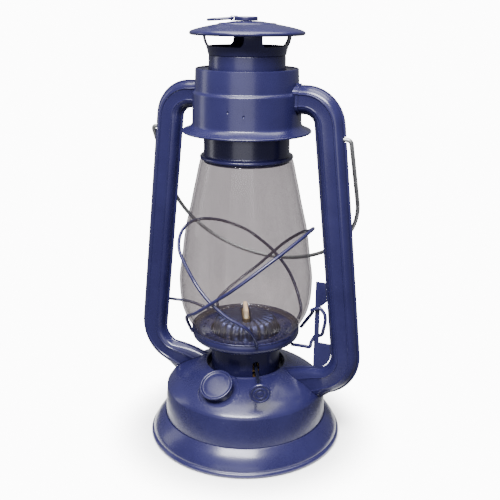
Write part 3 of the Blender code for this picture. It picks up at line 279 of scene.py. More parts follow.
@dataclass(frozen=True)
class BareMetal:
    """Unpainted metal with drawn or stained variation."""

    name: str
    colour: Triple
    stain: Triple
    roughness: float
    grain: Triple = (1.0, 1.0, 0.2)
    relief: float = 0.0002

    def make(self) -> bpy.types.Material:
        """Build the material."""
        desk = ShaderDesk(self.name)
        patch = desk.noise(90.0, 5.0)
        draw = desk.noise(900.0, 2.0, self.grain)
        desk.set(Base_Color=desk.blend(patch * 1.6 - 0.3, self.colour, self.stain), Metallic=0.95,
                 Roughness=self.roughness + patch * 0.18 + draw * 0.06)
        desk.bump(draw, 0.12, self.relief)
        return desk.material


@dataclass(frozen=True)
class CottonTape:
    """Woven cotton wick, browned towards its burnt end."""

    name: str = "cotton tape"
    burnt_from: float = 0.0955

    def make(self) -> bpy.types.Material:
        """Build the material."""
        desk = ShaderDesk(self.name)
        warp = desk.node("ShaderNodeTexWave", {"bands_direction": "Z"}, {
            "Vector": desk.place(), "Scale": 480.0, "Distortion": 1.2}, output="Fac")
        weft = desk.node("ShaderNodeTexWave", {"bands_direction": "DIAGONAL"}, {
            "Vector": desk.place((1, 1, 0)), "Scale": 420.0, "Distortion": 1.0}, output="Fac")
        weave = warp * weft
        scorch = (desk.height() - self.burnt_from + desk.noise(300.0) * 0.002) * 190.0
        cloth = desk.blend(weave, (0.58, 0.47, 0.30), (0.90, 0.80, 0.60))
        desk.set(Base_Color=desk.node("ShaderNodeMix", {"data_type": "RGBA", "clamp_factor": True}, {
            0: scorch, 6: cloth, 7: (0.66, 0.46, 0.28, 1.0)}, output=2), Roughness=0.92)
        desk.bump(weave, 0.6, 0.0004)
        return desk.material


@dataclass(frozen=True)
class Cork:
    """Granular cork of the cap's washer."""

    name: str = "cork"

    def make(self) -> bpy.types.Material:
        """Build the material."""
        desk = ShaderDesk(self.name)
        grain = desk.node("ShaderNodeTexVoronoi", inputs={"Vector": desk.place(), "Scale": 900.0})
        desk.set(Base_Color=desk.blend(grain, (0.24, 0.14, 0.07), (0.48, 0.31, 0.17)), Roughness=0.9)
        desk.bump(grain, 0.5, 0.0003)
        return desk.material


@dataclass
class Finishes:
    """The lantern's finishes, each made once."""

    enamel: bpy.types.Material = field(default_factory=lambda: Enamel().make())
    glass: bpy.types.Material = field(default_factory=lambda: BlownGlass().make())
    brass: bpy.types.Material = field(default_factory=lambda: BareMetal(
        "burner brass", (0.58, 0.42, 0.18), (0.30, 0.20, 0.09), 0.28).make())
    steel: bpy.types.Material = field(default_factory=lambda: BareMetal(
        "darkened steel", (0.060, 0.066, 0.150), (0.034, 0.036, 0.090), 0.26, relief=0.00003).make())
    wire: bpy.types.Material = field(default_factory=lambda: BareMetal(
        "galvanised wire", (0.42, 0.42, 0.41), (0.24, 0.25, 0.25), 0.34, (1, 1, 1)).make())
    cotton: bpy.types.Material = field(default_factory=lambda: CottonTape().make())
    cork: bpy.types.Material = field(default_factory=lambda: Cork().make())


# Outlines

def arc(centre: tuple[float, float], radius: float, start: float, end: float, steps: int = 6) -> Outline:
    """Points along an arc.

    Args:
        centre: Its middle, as radius and height.
        radius: Its radius.
        start: First angle in degrees, from the outward direction.
        end: Last angle in degrees.
        steps: Count of chords.

    Returns:
        The points, ends included.
    """
    points = []
    for index in range(steps + 1):
        angle = math.radians(start + (end - start) * index / steps)
        points.append((centre[0] + math.cos(angle) * radius, centre[1] + math.sin(angle) * radius))
    return points


def flowing(knots: Sequence[Sequence[float]], spans: int = 5) -> list[Vector]:
    """Smooth curve through knots.

    Args:
        knots: Points to pass, in two or three dimensions.
        spans: Points made for each stretch.

    Returns:
        The curve's points, ends included.
    """
    marks = [Vector(knot) for knot in knots]
    marks = [marks[0] * 2 - marks[1]] + marks + [marks[-1] * 2 - marks[-2]]
    points = []
    for index in range(len(knots) - 1):
        before, start, end, after = marks[index:index + 4]
        for step in range(spans):
            t = step / spans
            points.append(0.5 * (2 * start + (end - before) * t
                                 + (2 * before - 5 * start + 4 * end - after) * t * t
                                 + (3 * start - before - 3 * end + after) * t ** 3))
    return points + [marks[-2]]


def curve2(knots: Outline, spans: int = 5) -> Outline:
    """Smooth outline through knots of radius and height."""
    return [(point.x, point.y) for point in flowing([(r, z) for r, z in knots], spans)]


def beside(path: Outline, distance: float) -> Outline:
    """Path moved to the left of its direction, with mitred corners."""
    moved = []
    for index, (radius, height) in enumerate(path):
        normals = []
        for first, second in ((index - 1, index), (index, index + 1)):
            if 0 <= first and second < len(path):
                step = Vector(path[second]) - Vector(path[first])
                normals.append(Vector((-step.y, step.x)).normalized())
        mitre = sum(normals, Vector((0, 0)))
        mitre *= 2 / max(mitre.length_squared, 1.0) if len(normals) == 2 else 1
        moved.append((radius + mitre.x * distance, height + mitre.y * distance))
    return moved


def walled(path: Outline, sheet: float) -> Outline:
    """Closed outline of sheet metal lying to the left of a path."""
    return path + beside(path, sheet)[::-1]


# Making meshes

def verts_in(geometry: Iterable) -> list[bmesh.types.BMVert]:
    """Vertices among the parts that a bmesh operator hands back."""
    return [part for part in geometry if isinstance(part, bmesh.types.BMVert)]


def meshed(name: str, body: Mesh) -> bpy.types.Mesh:
    """Mesh data of a body, which is used up."""
    mesh = bpy.data.meshes.new(name)
    body.to_mesh(mesh)
    body.free()
    return mesh


def body_of(source: bpy.types.Object) -> Mesh:
    """Body with an object's final shape."""
    mesh = bpy.data.meshes.new_from_object(source)
    body = bmesh.new()
    body.from_mesh(mesh)
    bpy.data.meshes.remove(mesh)
    return body


def placed(name: str, data: bpy.types.ID) -> bpy.types.Object:
    """Object that shows some data, linked into the scene."""
    shown = bpy.data.objects.new(name, data)
    bpy.context.scene.collection.objects.link(shown)
    return shown


@dataclass
class Shop:
    """Makes, joins, cuts and hands over pieces."""

    finishes: Finishes

    def lathe(self, outline: Outline, grade: Grade = Grade.MEDIUM, closed: bool = True,
              soften: float = 0.00018) -> Mesh:
        """Turn an outline round Z and round its sharp rings over.

        Args:
            outline: Points of radius and height.
            grade: How many facets go round.
            closed: Whether the last point joins the first.
            soften: Width of the rounding, or zero.

        Returns:
            The turned body.
        """
        body = bmesh.new()
        verts = [body.verts.new((radius, 0, height)) for radius, height in outline]
        edges = [body.edges.new(pair) for pair in zip(verts, verts[1:])]
        if closed:
            edges.append(body.edges.new((verts[-1], verts[0])))
        bmesh.ops.spin(body, geom=verts + edges, cent=(0, 0, 0), axis=(0, 0, 1), angle=math.tau,
                       steps=grade.value, use_merge=True)
        bmesh.ops.remove_doubles(body, verts=body.verts, dist=1e-7)
        bmesh.ops.recalc_face_normals(body, faces=body.faces)
        self.soften(body, soften)
        return body

    @staticmethod
    def soften(body: Mesh, width: float, angle: float = 28.0, segments: int = 2) -> None:
        """Round over every edge sharper than an angle in degrees."""
        if width:
            sharp = [edge for edge in body.edges
                     if len(edge.link_faces) == 2 and edge.calc_face_angle() > math.radians(angle)]
            bmesh.ops.bevel(body, geom=sharp, offset=width, offset_type='OFFSET', segments=segments,
                            profile=0.5, affect='EDGES', material=-1, clamp_overlap=True)

    @staticmethod
    def slab(outline: Outline, low: float, high: float) -> Mesh:
        """Straight body of a level outline between two heights."""
        body = bmesh.new()
        face = body.faces.new([body.verts.new((x, y, low)) for x, y in outline])
        grown = bmesh.ops.extrude_face_region(body, geom=[face])
        bmesh.ops.translate(body, verts=verts_in(grown["geom"]), vec=(0, 0, high - low))
        bmesh.ops.recalc_face_normals(body, faces=body.faces)
        return body

    @staticmethod
    def sweep(section: Outline, frames: Iterable[Matrix]) -> Mesh:
        """Carry a closed section through frames, its first axis across and its second deep.

        Args:
            section: Closed outline of the section.
            frames: Where the section stands at each station.

        Returns:
            The swept body with both ends filled.
        """
        frames = list(frames)
        body = bmesh.new()
        verts = [body.verts.new(frames[0] @ Vector((x, y, 0))) for x, y in section]
        edges = [body.edges.new((verts[i], verts[(i + 1) % len(verts)])) for i in range(len(verts))]
        bmesh.ops.contextual_create(body, geom=edges)
        for before, frame in zip(frames, frames[1:]):
            grown = bmesh.ops.extrude_edge_only(body, edges=edges)["geom"]
            edges = [part for part in grown if isinstance(part, bmesh.types.BMEdge)]
            bmesh.ops.transform(body, matrix=frame @ before.inverted(), verts=verts_in(grown))
        bmesh.ops.contextual_create(body, geom=edges)
        bmesh.ops.recalc_face_normals(body, faces=body.faces)
        return body

    @staticmethod
    def rod(radius: float, low: float, high: float, sides: int = 32) -> Mesh:
        """Round bar on Z between two heights."""
        body = bmesh.new()
        bmesh.ops.create_cone(body, cap_ends=True, segments=sides, radius1=radius, radius2=radius,
                              depth=high - low, matrix=Matrix.Translation((0, 0, (low + high) / 2)))
        return body

    @staticmethod
    def wire(points: Sequence[Vector], radius: float, cyclic: bool = False) -> Mesh:
        """Round wire along points, from a curve with a bevel.

        Args:
            points: Its centre line.
            radius: Its radius.
            cyclic: Whether it closes on itself.

        Returns:
            The wire's body.
        """
        curve = bpy.data.curves.new("wire", 'CURVE')
        curve.dimensions = '3D'
        curve.bevel_depth = radius
        curve.bevel_resolution = 5
        curve.use_fill_caps = not cyclic
        spline = curve.splines.new('POLY')
        spline.points.add(len(points) - 1)
        for knot, point in zip(spline.points, points):
            knot.co = (*point, 1.0)
        spline.use_cyclic_u = cyclic
        holder = bpy.data.objects.new("wire", curve)
        body = body_of(holder)
        bpy.data.objects.remove(holder)
        bpy.data.curves.remove(curve)
        bmesh.ops.remove_doubles(body, verts=body.verts, dist=1e-7)
        bmesh.ops.recalc_face_normals(body, faces=body.faces)
        return body

    @staticmethod
    def moved(body: Mesh, matrix: Matrix) -> Mesh:
        """Body put in place by a matrix."""
        bmesh.ops.transform(body, matrix=matrix, verts=body.verts)
        return body

    @staticmethod
    def merged(bodies: Sequence[Mesh]) -> Mesh:
        """One body that holds several, for cutters that don't touch."""
        whole = bmesh.new()
        for body in bodies:
            mesh = meshed("part", body)
            whole.from_mesh(mesh)
            bpy.data.meshes.remove(mesh)
        return whole

    def ring_of_holes(self, count: int, turn: float, circle: float, radius: float,
                      heights: tuple[float, float]) -> Mesh:
        """Cutter for a ring of upright round holes.

        Args:
            count: How many holes.
            turn: Share of a step that the ring is turned by.
            circle: Radius of the circle that they stand on.
            radius: Radius of each hole.
            heights: Bottom and top of the cutter.

        Returns:
            The cutter.
        """
        return self.merged([self.moved(self.rod(radius, *heights, 16), Matrix.Translation(
            level_way(360 * (index + turn) / count) * circle)) for index in range(count)])

    @staticmethod
    def shape(body: Mesh, tool: Mesh, operation: str = 'DIFFERENCE') -> Mesh:
        """Body after a Boolean with a tool, which is used up.

        Args:
            body: What is cut or joined.
            tool: The other body.
            operation: Boolean operation.

        Returns:
            The new body.
        """
        holders = [placed("work", meshed("work", source)) for source in (body, tool)]
        modifier = holders[0].modifiers.new("cut", 'BOOLEAN')
        modifier.operation = operation
        modifier.object = holders[1]
        graph = bpy.context.evaluated_depsgraph_get()
        graph.update()
        result = body_of(holders[0].evaluated_get(graph))
        for holder in holders:
            old = holder.data
            bpy.data.objects.remove(holder)
            bpy.data.meshes.remove(old)
        return result

    def deliver(self, name: str, body: Mesh, nodes: Sequence[str] = (), rides: Body = Body.FRAME,
                material: bpy.types.Material | None = None, angle: float = 32.0) -> None:
        """Hand over a finished piece.

        Args:
            name: The piece's name.
            body: Its mesh, used up here.
            nodes: The solids that it stands for.
            rides: The body that it moves with.
            material: Its finish, or none for the blue enamel.
            angle: Edges sharper than this many degrees stay crisp.
        """
        material = material or self.finishes.enamel
        mesh = meshed(name, body)
        mesh.shade_smooth()
        mesh.set_sharp_from_angle(angle=math.radians(angle))
        mesh.materials.append(material)
        piece = placed(name, mesh)
        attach(piece, rides.value)
        if nodes:
            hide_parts(*nodes)
        LOG.info("%s: %d faces", name, len(mesh.polygons))

    @staticmethod
    def dress(node: str, material: bpy.types.Material) -> None:
        """Give a solid that stays its finish."""
        mesh = bpy.data.objects[node].data
        mesh.materials.clear()
        mesh.materials.append(material)


def level_way(degrees: float) -> Vector:
    """Level unit vector at an angle from -Y towards +X."""
    return Vector((math.sin(math.radians(degrees)), -math.cos(math.radians(degrees)), 0))


def standing_on(foot: Vector, axis: Vector) -> Matrix:
    """Matrix that puts a body made on Z on a foot point, along an axis."""
    return Matrix.Translation(foot) @ Vector((0, 0, 1)).rotation_difference(axis).to_matrix().to_4x4()


def slot_outline(length: float, width: float, steps: int = 10) -> Outline:
    """Outline of a slot with round ends, its long way on X."""
    straight = (length - width) / 2
    right = [(x + straight, y) for x, y in arc((0, 0), width / 2, -90, 90, steps)]
    return right + [(-x, -y) for x, y in right]


# The lantern's sub-assemblies

@dataclass
class SideTubes:
    """The two hollow air tubes, their collars at the chamber and the lift bracket."""

    half_width: float = 0.0107
    half_depth: float = 0.0068
    wall: float = 0.0009
    entry_x: float = 0.0298
    end_x: float = 0.030
    top_z: float = 0.2534
    top_bend: float = 0.0172
    lean_x: float = 0.0612
    lean_z: float = 0.2230
    lean: float = math.atan(0.110)
    low_bend: float = 0.0224
    low_bend_z: float = 0.0736
    foot_fall: float = math.radians(22.0)
    top_share: float = 0.905
    foot_shares: tuple[float, float] = (0.95, 0.90)
    run_shares: tuple[Triple, ...] = ((0.4, 1.30, 0.65), (1.0, 1.50, 0.50))
    bail_z: float = 0.2290
    bail_hole: float = 0.0020
    edge_x: float = 0.0537
    band: float = 0.0036
    bracket_top: float = 0.1276
    window: tuple[float, float] = (0.0815, 0.1085)
    slope: float = 0.0048

    def centre_x(self, height: float) -> float:
        """Centre line's X of the straight run."""
        return self.lean_x + (self.lean_z - height) * math.tan(self.lean)

    def stations(self, overrun: float) -> list[tuple[float, float, float, float, float]]:
        """Place, heading and section shares along the right tube, top to foot.

        Args:
            overrun: How far the line goes on at both ends.

        Returns:
            X, Z, heading and the shares of the width and the depth at each station.
        """
        end = -(math.pi / 2 - self.lean)
        centre_z = self.top_z - self.top_bend
        centre_x = (self.centre_x(centre_z + self.top_bend * math.cos(end))
                    + self.top_bend * math.sin(end))
        rows = [(self.entry_x - overrun, self.top_z, 0.0, self.top_share, self.top_share)]
        for index in range(19):
            heading = end * index / 18
            share = self.top_share + (1 - self.top_share) * index / 18
            rows.append((centre_x - math.sin(heading) * self.top_bend,
                         centre_z + math.cos(heading) * self.top_bend, heading, share, share))
        low_x = (self.centre_x(self.low_bend_z + self.low_bend * math.cos(end))
                 + self.low_bend * math.sin(end))
        foot = -(math.pi - self.foot_fall)
        for index in range(19):
            heading = end + (foot - end) * index / 18
            wide, thick = (1 + (share - 1) * index / 18 for share in self.foot_shares)
            rows.append((low_x - math.sin(heading) * self.low_bend,
                         self.low_bend_z + math.cos(heading) * self.low_bend, heading, wide, thick))
        x, z = rows[-1][:2]
        run = (x - self.end_x) / math.cos(self.foot_fall)
        for along, wide, thick in flowing([(0.0, *self.foot_shares), *self.run_shares])[1:]:
            far = run * along + (overrun if along > 0.999 else 0)
            rows.append((x + math.cos(foot) * far, z + math.sin(foot) * far, foot, wide, thick))
        return rows

    def frames(self, overrun: float) -> list[Matrix]:
        """Frames of the stations, across the tube in its plane and deep along Y."""
        made = []
        for x, z, heading, wide, thick in self.stations(overrun):
            across = Vector((-math.sin(heading), 0, math.cos(heading)))
            deep = Vector((0, 1, 0))
            along = across.cross(deep)
            turn = Matrix((across, deep, along)).transposed().to_4x4()
            made.append(Matrix.Translation((x, 0, z)) @ turn @ Matrix.Diagonal((wide, thick, 1, 1)))
        return made

    def section(self, growth: float = 0.0) -> Outline:
        """Outside of the section: two pressed halves with a crease each side and seam fins."""
        width = self.half_width + growth
        depth = self.half_depth + growth
        seam = 0.0006 + growth
        side = [(width, seam * 0.5), (width - 0.0002, seam), (width * 0.885, seam),
                (width * 0.865, seam * 1.4)]
        side += curve2([(width * wide, depth * deep) for wide, deep in (
            (0.85, 0.20), (0.79, 0.50), (0.68, 0.77), (0.52, 0.93))], 3)
        side += [(width * wide, depth * deep) for wide, deep in (
            (0.47, 0.94), (0.43, 1), (0.38, 1), (0.33, 0.92), (0.16, 0.90))]
        half = side + [(-x, y) for x, y in side[::-1]]
        return half + [(-x, -y) for x, y in half]

    def bore(self) -> Outline:
        """Inside of the section."""
        depth = self.half_depth - self.wall
        quarter = curve2([(self.half_width * 0.80, 0), (self.half_width * 0.76, depth * 0.40),
                          (self.half_width * 0.60, depth * 0.78), (self.half_width * 0.36, depth)], 3)
        half = quarter + [(-x, y) for x, y in quarter[::-1]]
        return half + [(-x, -y) for x, y in half[1:-1]]

    def build(self, shop: Shop, chamber: "AirChamber", fount: "Fount") -> None:
        """Make both tubes, their collars and the bracket."""
        for label, side in (("right", 1), ("left", -1)):
            tube = shop.sweep(self.section(), self.frames(0))
            tube = shop.shape(tube, shop.sweep(self.bore(), self.frames(0.004)))
            tube = shop.shape(tube, chamber.blank(shop, FIT_GAP))
            tube = shop.shape(tube, fount.blank(shop, FIT_GAP))
            hole = shop.rod(self.bail_hole, 0, 0.022, 24)
            centre = Vector((self.centre_x(self.bail_z), 0, self.bail_z))
            tube = shop.shape(tube, shop.moved(hole, standing_on(centre, Vector((1, 0, 0)))))
            level = self.frames(0)[0].to_3x3().to_4x4()
            collar = shop.sweep(self.section(self.wall), [
                Matrix.Translation((x, 0, self.top_z)) @ level for x in (0.031, 0.0388)])
            collar = shop.shape(collar, shop.sweep(self.section(0.00005), self.frames(0)))
            collar = shop.shape(collar, chamber.blank(shop, 0.0002))
            if side < 0:
                for body in (tube, collar):
                    shop.moved(body, Matrix.Scale(-1, 4, (1, 0, 0)))
                    bmesh.ops.reverse_faces(body, faces=body.faces)
            shop.deliver("air_tube_" + label, tube, ["side_tube_" + label], angle=24.0)
            shop.deliver("tube_collar_" + label, collar)
        self._bracket(shop)

    def _bracket(self, shop: Shop) -> None:
        """Make the sheet bracket with its window."""
        right = self.edge_x + self.band
        slope_top = self.window[1] + self.slope
        bend = [station[:2] for station in self.stations(0)[38:20:-1]]
        start = bend[0][1] - (bend[0][0] - self.edge_x) * math.tan(self.foot_fall)
        outline = [(self.edge_x, start)] + bend
        outline += [(self.centre_x(self.window[0]), self.window[0]), (right, self.window[0]),
                    (right, self.window[1]), (right + self.slope, slope_top),
                    (self.centre_x(slope_top), slope_top),
                    (self.centre_x(self.bracket_top), self.bracket_top), (self.edge_x, self.bracket_top)]
        plate = shop.slab(outline, -0.0005, 0.0005)
        shop.soften(plate, 0.0002, 40.0)
        plate = shop.moved(plate, Matrix.Rotation(math.pi / 2, 4, 'X'))
        plate = shop.shape(plate, shop.sweep(self.section(FIT_GAP), self.frames(0)))
        shop.deliver("lift_bracket_plate", plate, ["lift_bracket"])


@dataclass
class Fount:
    """Fuel tank with its foot flange and filler."""

    filler_azimuth: float = -4.0
    filler_tilt: float = math.radians(33.0)
    filler_radius: float = 0.0396
    filler_z: float = 0.0476
    pocket_radius: float = 0.0152
    neck_radius: float = 0.0090
    neck_height: float = 0.0075

    def wall(self) -> Outline:
        """Outside of the tank from its bottom edge to its raised lip."""
        dome = curve2([(0.05935, 0.0390), (0.0575, 0.0413), (0.0520, 0.0455), (0.0440, 0.0500),
                       (0.0360, 0.0538), (0.0312, 0.0557)], 6)
        return [(0.0607, 0.0070), (0.0607, 0.0175), (0.05945, 0.0386)] + dome

    def blank(self, shop: Shop, growth: float) -> Mesh:
        """Solid of the tank's outside, grown by a gap."""
        path = beside(self.wall(), -growth)
        outline = [(0, 0.003), (path[0][0], 0.003)] + path[1:] + [(0, path[-1][1] + 0.0008)]
        return shop.lathe(outline, Grade.MEDIUM, False, 0)

    def filler_axis(self) -> tuple[Vector, Vector]:
        """Foot point and unit axis of the filler neck."""
        way = level_way(self.filler_azimuth)
        foot = way * self.filler_radius + Vector((0, 0, self.filler_z))
        return foot, way * math.sin(self.filler_tilt) + Vector((0, 0, math.cos(self.filler_tilt)))

    def build(self, shop: Shop) -> None:
        """Make the tank, its bottom, the flange and the filler."""
        seat = standing_on(*self.filler_axis())
        lip = [(0.0304, 0.0563)] + arc((0.0297, 0.0561), 0.0006, 60, 180, 5)
        well = [(0.0286, 0.0550), (0.0284, 0.0535), (0.0284, 0.0505), (0.0200, 0.0505)]
        tank = shop.lathe(walled(self.wall() + lip + well, SHEET), Grade.LARGE, True, 0.0002)
        cut = shop.rod(self.pocket_radius + SHEET * 0.6, -SHEET, 0.03, 96)
        tank = shop.shape(tank, shop.moved(cut, seat))
        shop.deliver("tank_shell", tank, ["fount_shell"], angle=24.0)
        hole = self.neck_radius + FIT_GAP
        bend = self.pocket_radius - 0.0030
        outer = self.pocket_radius + SHEET
        cup = [(hole, 0)] + arc((bend, 0.0030), 0.0030, -90, 0, 8) + [
            (self.pocket_radius, 0.03), (outer, 0.03), (outer, 0), (bend, -SHEET), (hole, -SHEET)]
        pocket = shop.moved(shop.lathe(cup, Grade.MEDIUM, True, 0), seat)
        pocket = shop.shape(pocket, self.blank(shop, -0.0001), 'INTERSECT')
        shop.soften(pocket, 0.0003, 40.0)
        shop.deliver("filler_pocket", pocket)

        inner = 0.0596
        floor = [(0, 0.0076), (0.050, 0.0076), (0.056, 0.0070), (inner, 0.0070), (inner, 0.0110),
                 (inner - SHEET, 0.0110), (inner - SHEET, 0.0078), (0.056, 0.0078), (0.050, 0.0084),
                 (0, 0.0084)]
        shop.deliver("tank_floor", shop.lathe(floor, Grade.LARGE, False), ["fount_bottom"])

        skirt = curve2([(0.0612, 0.0175), (0.0624, 0.0164), (0.0660, 0.0126), (0.0692, 0.0080),
                        (0.0704, 0.0052)], 5)
        bead = [(0.0703, 0.0043)] + arc((0.0702, 0.0020), 0.0020, 75, -90, 12)
        foot = [(0.0698, 0.0), (0.0694, 0.0008), (0.0694, 0.0030)]
        inside = beside(skirt, -SHEET)[::-1]
        flange = shop.lathe(skirt + bead + foot + inside, Grade.LARGE, True, 0.0002)
        shop.deliver("foot_flange", flange, ["base_flange"])
        self._filler(shop, seat)

    def _filler(self, shop: Shop, seat: Matrix) -> None:
        """Make the filler neck, the washer and the cap."""
        inner = self.neck_radius - SHEET
        top = self.neck_height
        neck = [(inner, -0.004), (self.neck_radius, -0.004), (self.neck_radius, 0.0), (0.0101, 0.0001),
                (0.0101, 0.0007), (self.neck_radius, 0.0009), (self.neck_radius, top), (inner, top)]
        shop.deliver("filler_spout", shop.moved(shop.lathe(neck), seat), ["filler_neck"])
        washer = [(inner, top + FIT_GAP), (self.neck_radius, top + FIT_GAP),
                  (self.neck_radius, top + 0.0015), (inner, top + 0.0015)]
        shop.deliver("cork_washer", shop.moved(shop.lathe(washer), seat), ["filler_gasket"], Body.SEAL,
                     shop.finishes.cork)
        under = top + 0.0018
        rim = (0.0114, under + 0.0008)
        cap = [(0, under), (0.0095, under), (0.0095, 0.0028), (0.0097, 0.0024), (0.0107, 0.0024),
               (0.0107, rim[1] - 0.0010)] + arc(rim, 0.0008, -120, 150, 10)
        cap += curve2([(0.0105, rim[1] + 0.0002), (0.0098, rim[1] - 0.0002), (0.0070, rim[1] + 0.0001),
                       (0.0030, rim[1] + 0.0002)], 4) + [(0, rim[1] + 0.0002)]
        cap = shop.moved(shop.lathe(cap, Grade.MEDIUM, False, 0.00015), seat)
        shop.deliver("filler_lid_cap", cap, ["filler_cap"], Body.LID)


@dataclass
class Burner:
    """Flat-wick burner: drum, pleated flame cone, wick, spindle and knob."""

    azimuth: float = 27.4
    drop: float = math.radians(5.0)
    offset: float = 0.0057
    shaft_z: float = 0.0652
    drum_radius: float = 0.0255
    drum_top: float = 0.0806
    knob_reach: float = 0.0615
    knob_radius: float = 0.0076
    scallops: int = 24
    pleats: int = 24
    pleat_depth: float = 0.028

    def _turn(self) -> Matrix:
        """Lays X on the wick's broad way."""
        way = level_way(self.azimuth)
        return Matrix.Rotation(math.atan2(way.y, way.x), 4, 'Z')

    def shaft_line(self) -> tuple[Vector, Vector]:
        """Point beside the lantern's axis and unit way out to the knob."""
        way = level_way(self.azimuth)
        start = Vector((-way.y, way.x, 0)) * self.offset + Vector((0, 0, self.shaft_z))
        return start, way * math.cos(self.drop) - Vector((0, 0, math.sin(self.drop)))

    def build(self, shop: Shop) -> None:
        """Make all that stands in the tank's well."""
        steel, brass = shop.finishes.steel, shop.finishes.brass
        start, way = self.shaft_line()
        wall = [(self.drum_radius, 0.0508), (self.drum_radius, 0.0775), (self.drum_radius - 0.0004, 0.0779),
                (self.drum_radius - 0.0004, self.drum_top)]
        drum = shop.lathe(walled(wall, SHEET))
        slot = shop.slab([(0, -0.0024), (0.06, -0.0024), (0.06, 0.0024), (0, 0.0024)], 0.046, 0.0640)
        lying = Matrix.Translation((0, 0, 0.0640)) @ Matrix.Rotation(math.pi / 2, 4, 'Y')
        top = shop.moved(shop.rod(0.0024, 0, 0.06, 32), lying)
        place = Matrix.Translation((start.x, start.y, 0)) @ self._turn()
        drum = shop.shape(drum, shop.moved(slot, place))
        drum = shop.shape(drum, shop.moved(top, place))
        shop.deliver("burner_gallery", drum, ["burner_drum"])
        self._cone(shop)

        tape = shop.slab(slot_outline(0.0200, 0.0028), 0.0190, 0.1002)
        shop.soften(tape, 0.0004, 60.0)
        tape = shop.moved(tape, self._turn())
        shop.deliver("cotton_wick", tape, ["wick"], Body.WICK, shop.finishes.cotton)
        holder = shop.slab(slot_outline(0.0222, 0.0050), 0.0460, 0.0945)
        holder = shop.shape(holder, shop.slab(slot_outline(0.0210, 0.0038), 0.040, 0.100))
        holder = shop.moved(holder, self._turn())
        shop.deliver("wick_holder", holder, ["wick_tube"], material=brass)
        for node in ("burner_collar", "burner_diffuser", "wick_wheel_inner", "wick_wheel_outer"):
            shop.dress(node, brass)

        seat = standing_on(start, way)
        back = self.knob_reach - 0.0034
        shaft = shop.rod(0.0011, -0.0090, back + 0.0004, 24)
        shop.deliver("spindle_rod", shop.moved(shaft, seat), ["wick_shaft"], Body.SPINDLE, steel)
        face = self.knob_reach
        groove = face - 0.0005
        knob = [(0, back), (0.0022, back), (0.0022, back + 0.0009), (0.0070, back + 0.0009),
                (self.knob_radius, back + 0.0015), (self.knob_radius, face - 0.0006), (0.0070, face),
                (0.0062, face), (0.0057, groove), (0.0049, groove), (0.0044, face), (0.0036, face),
                (0.0031, groove), (0.0022, groove), (0.0017, face), (0, face)]
        disc = shop.lathe(knob, Grade.MEDIUM, False, 0.00012)
        rim = [vert for vert in disc.verts if math.hypot(vert.co.x, vert.co.y) > 0.00735]
        for vert in rim:
            wave = math.cos(math.atan2(vert.co.y, vert.co.x) * self.scallops)
            vert.co.xy *= 1 - 0.018 * (1 - wave) / 2
        shop.deliver("wick_knob_disc", shop.moved(disc, seat), ["wick_knob"], Body.SPINDLE)

    def _cone(self, shop: Shop) -> None:
        """Make the flame cone with its pressed pleats and its slot."""
        path = [(0.0244, 0.0766), (0.0244, 0.0816)]
        path += curve2([(0.0243, 0.0826), (0.0238, 0.0862), (0.0230, 0.0895), (0.0216, 0.0918)], 5)
        path += curve2([(0.0205, 0.0925), (0.0150, 0.0934), (0.0080, 0.0941), (0.0010, 0.0943)], 4)
        inside = beside(path, 0.0006)
        cone = shop.lathe(path[::-1] + inside, Grade.LARGE, True, 0)
        for vert in cone.verts:
            radius = math.hypot(vert.co.x, vert.co.y)
            flank = min(max((vert.co.z - 0.0820) / 0.003, 0), 1) * min(max((radius - 0.010) / 0.008, 0), 1)
            wave = math.cos(math.atan2(vert.co.y, vert.co.x) * self.pleats)
            vert.co.xy *= 1 - flank * self.pleat_depth * (1 - wave)
            vert.co.z -= flank * 0.00030 * (1 - wave)
        slit = shop.moved(shop.slab(slot_outline(0.0300, 0.0072), 0.0850, 0.0970), self._turn())
        cone = shop.shape(cone, slit)
        shop.deliver("flame_cone", cone, ["burner_cone"], material=shop.finishes.steel, angle=50.0)


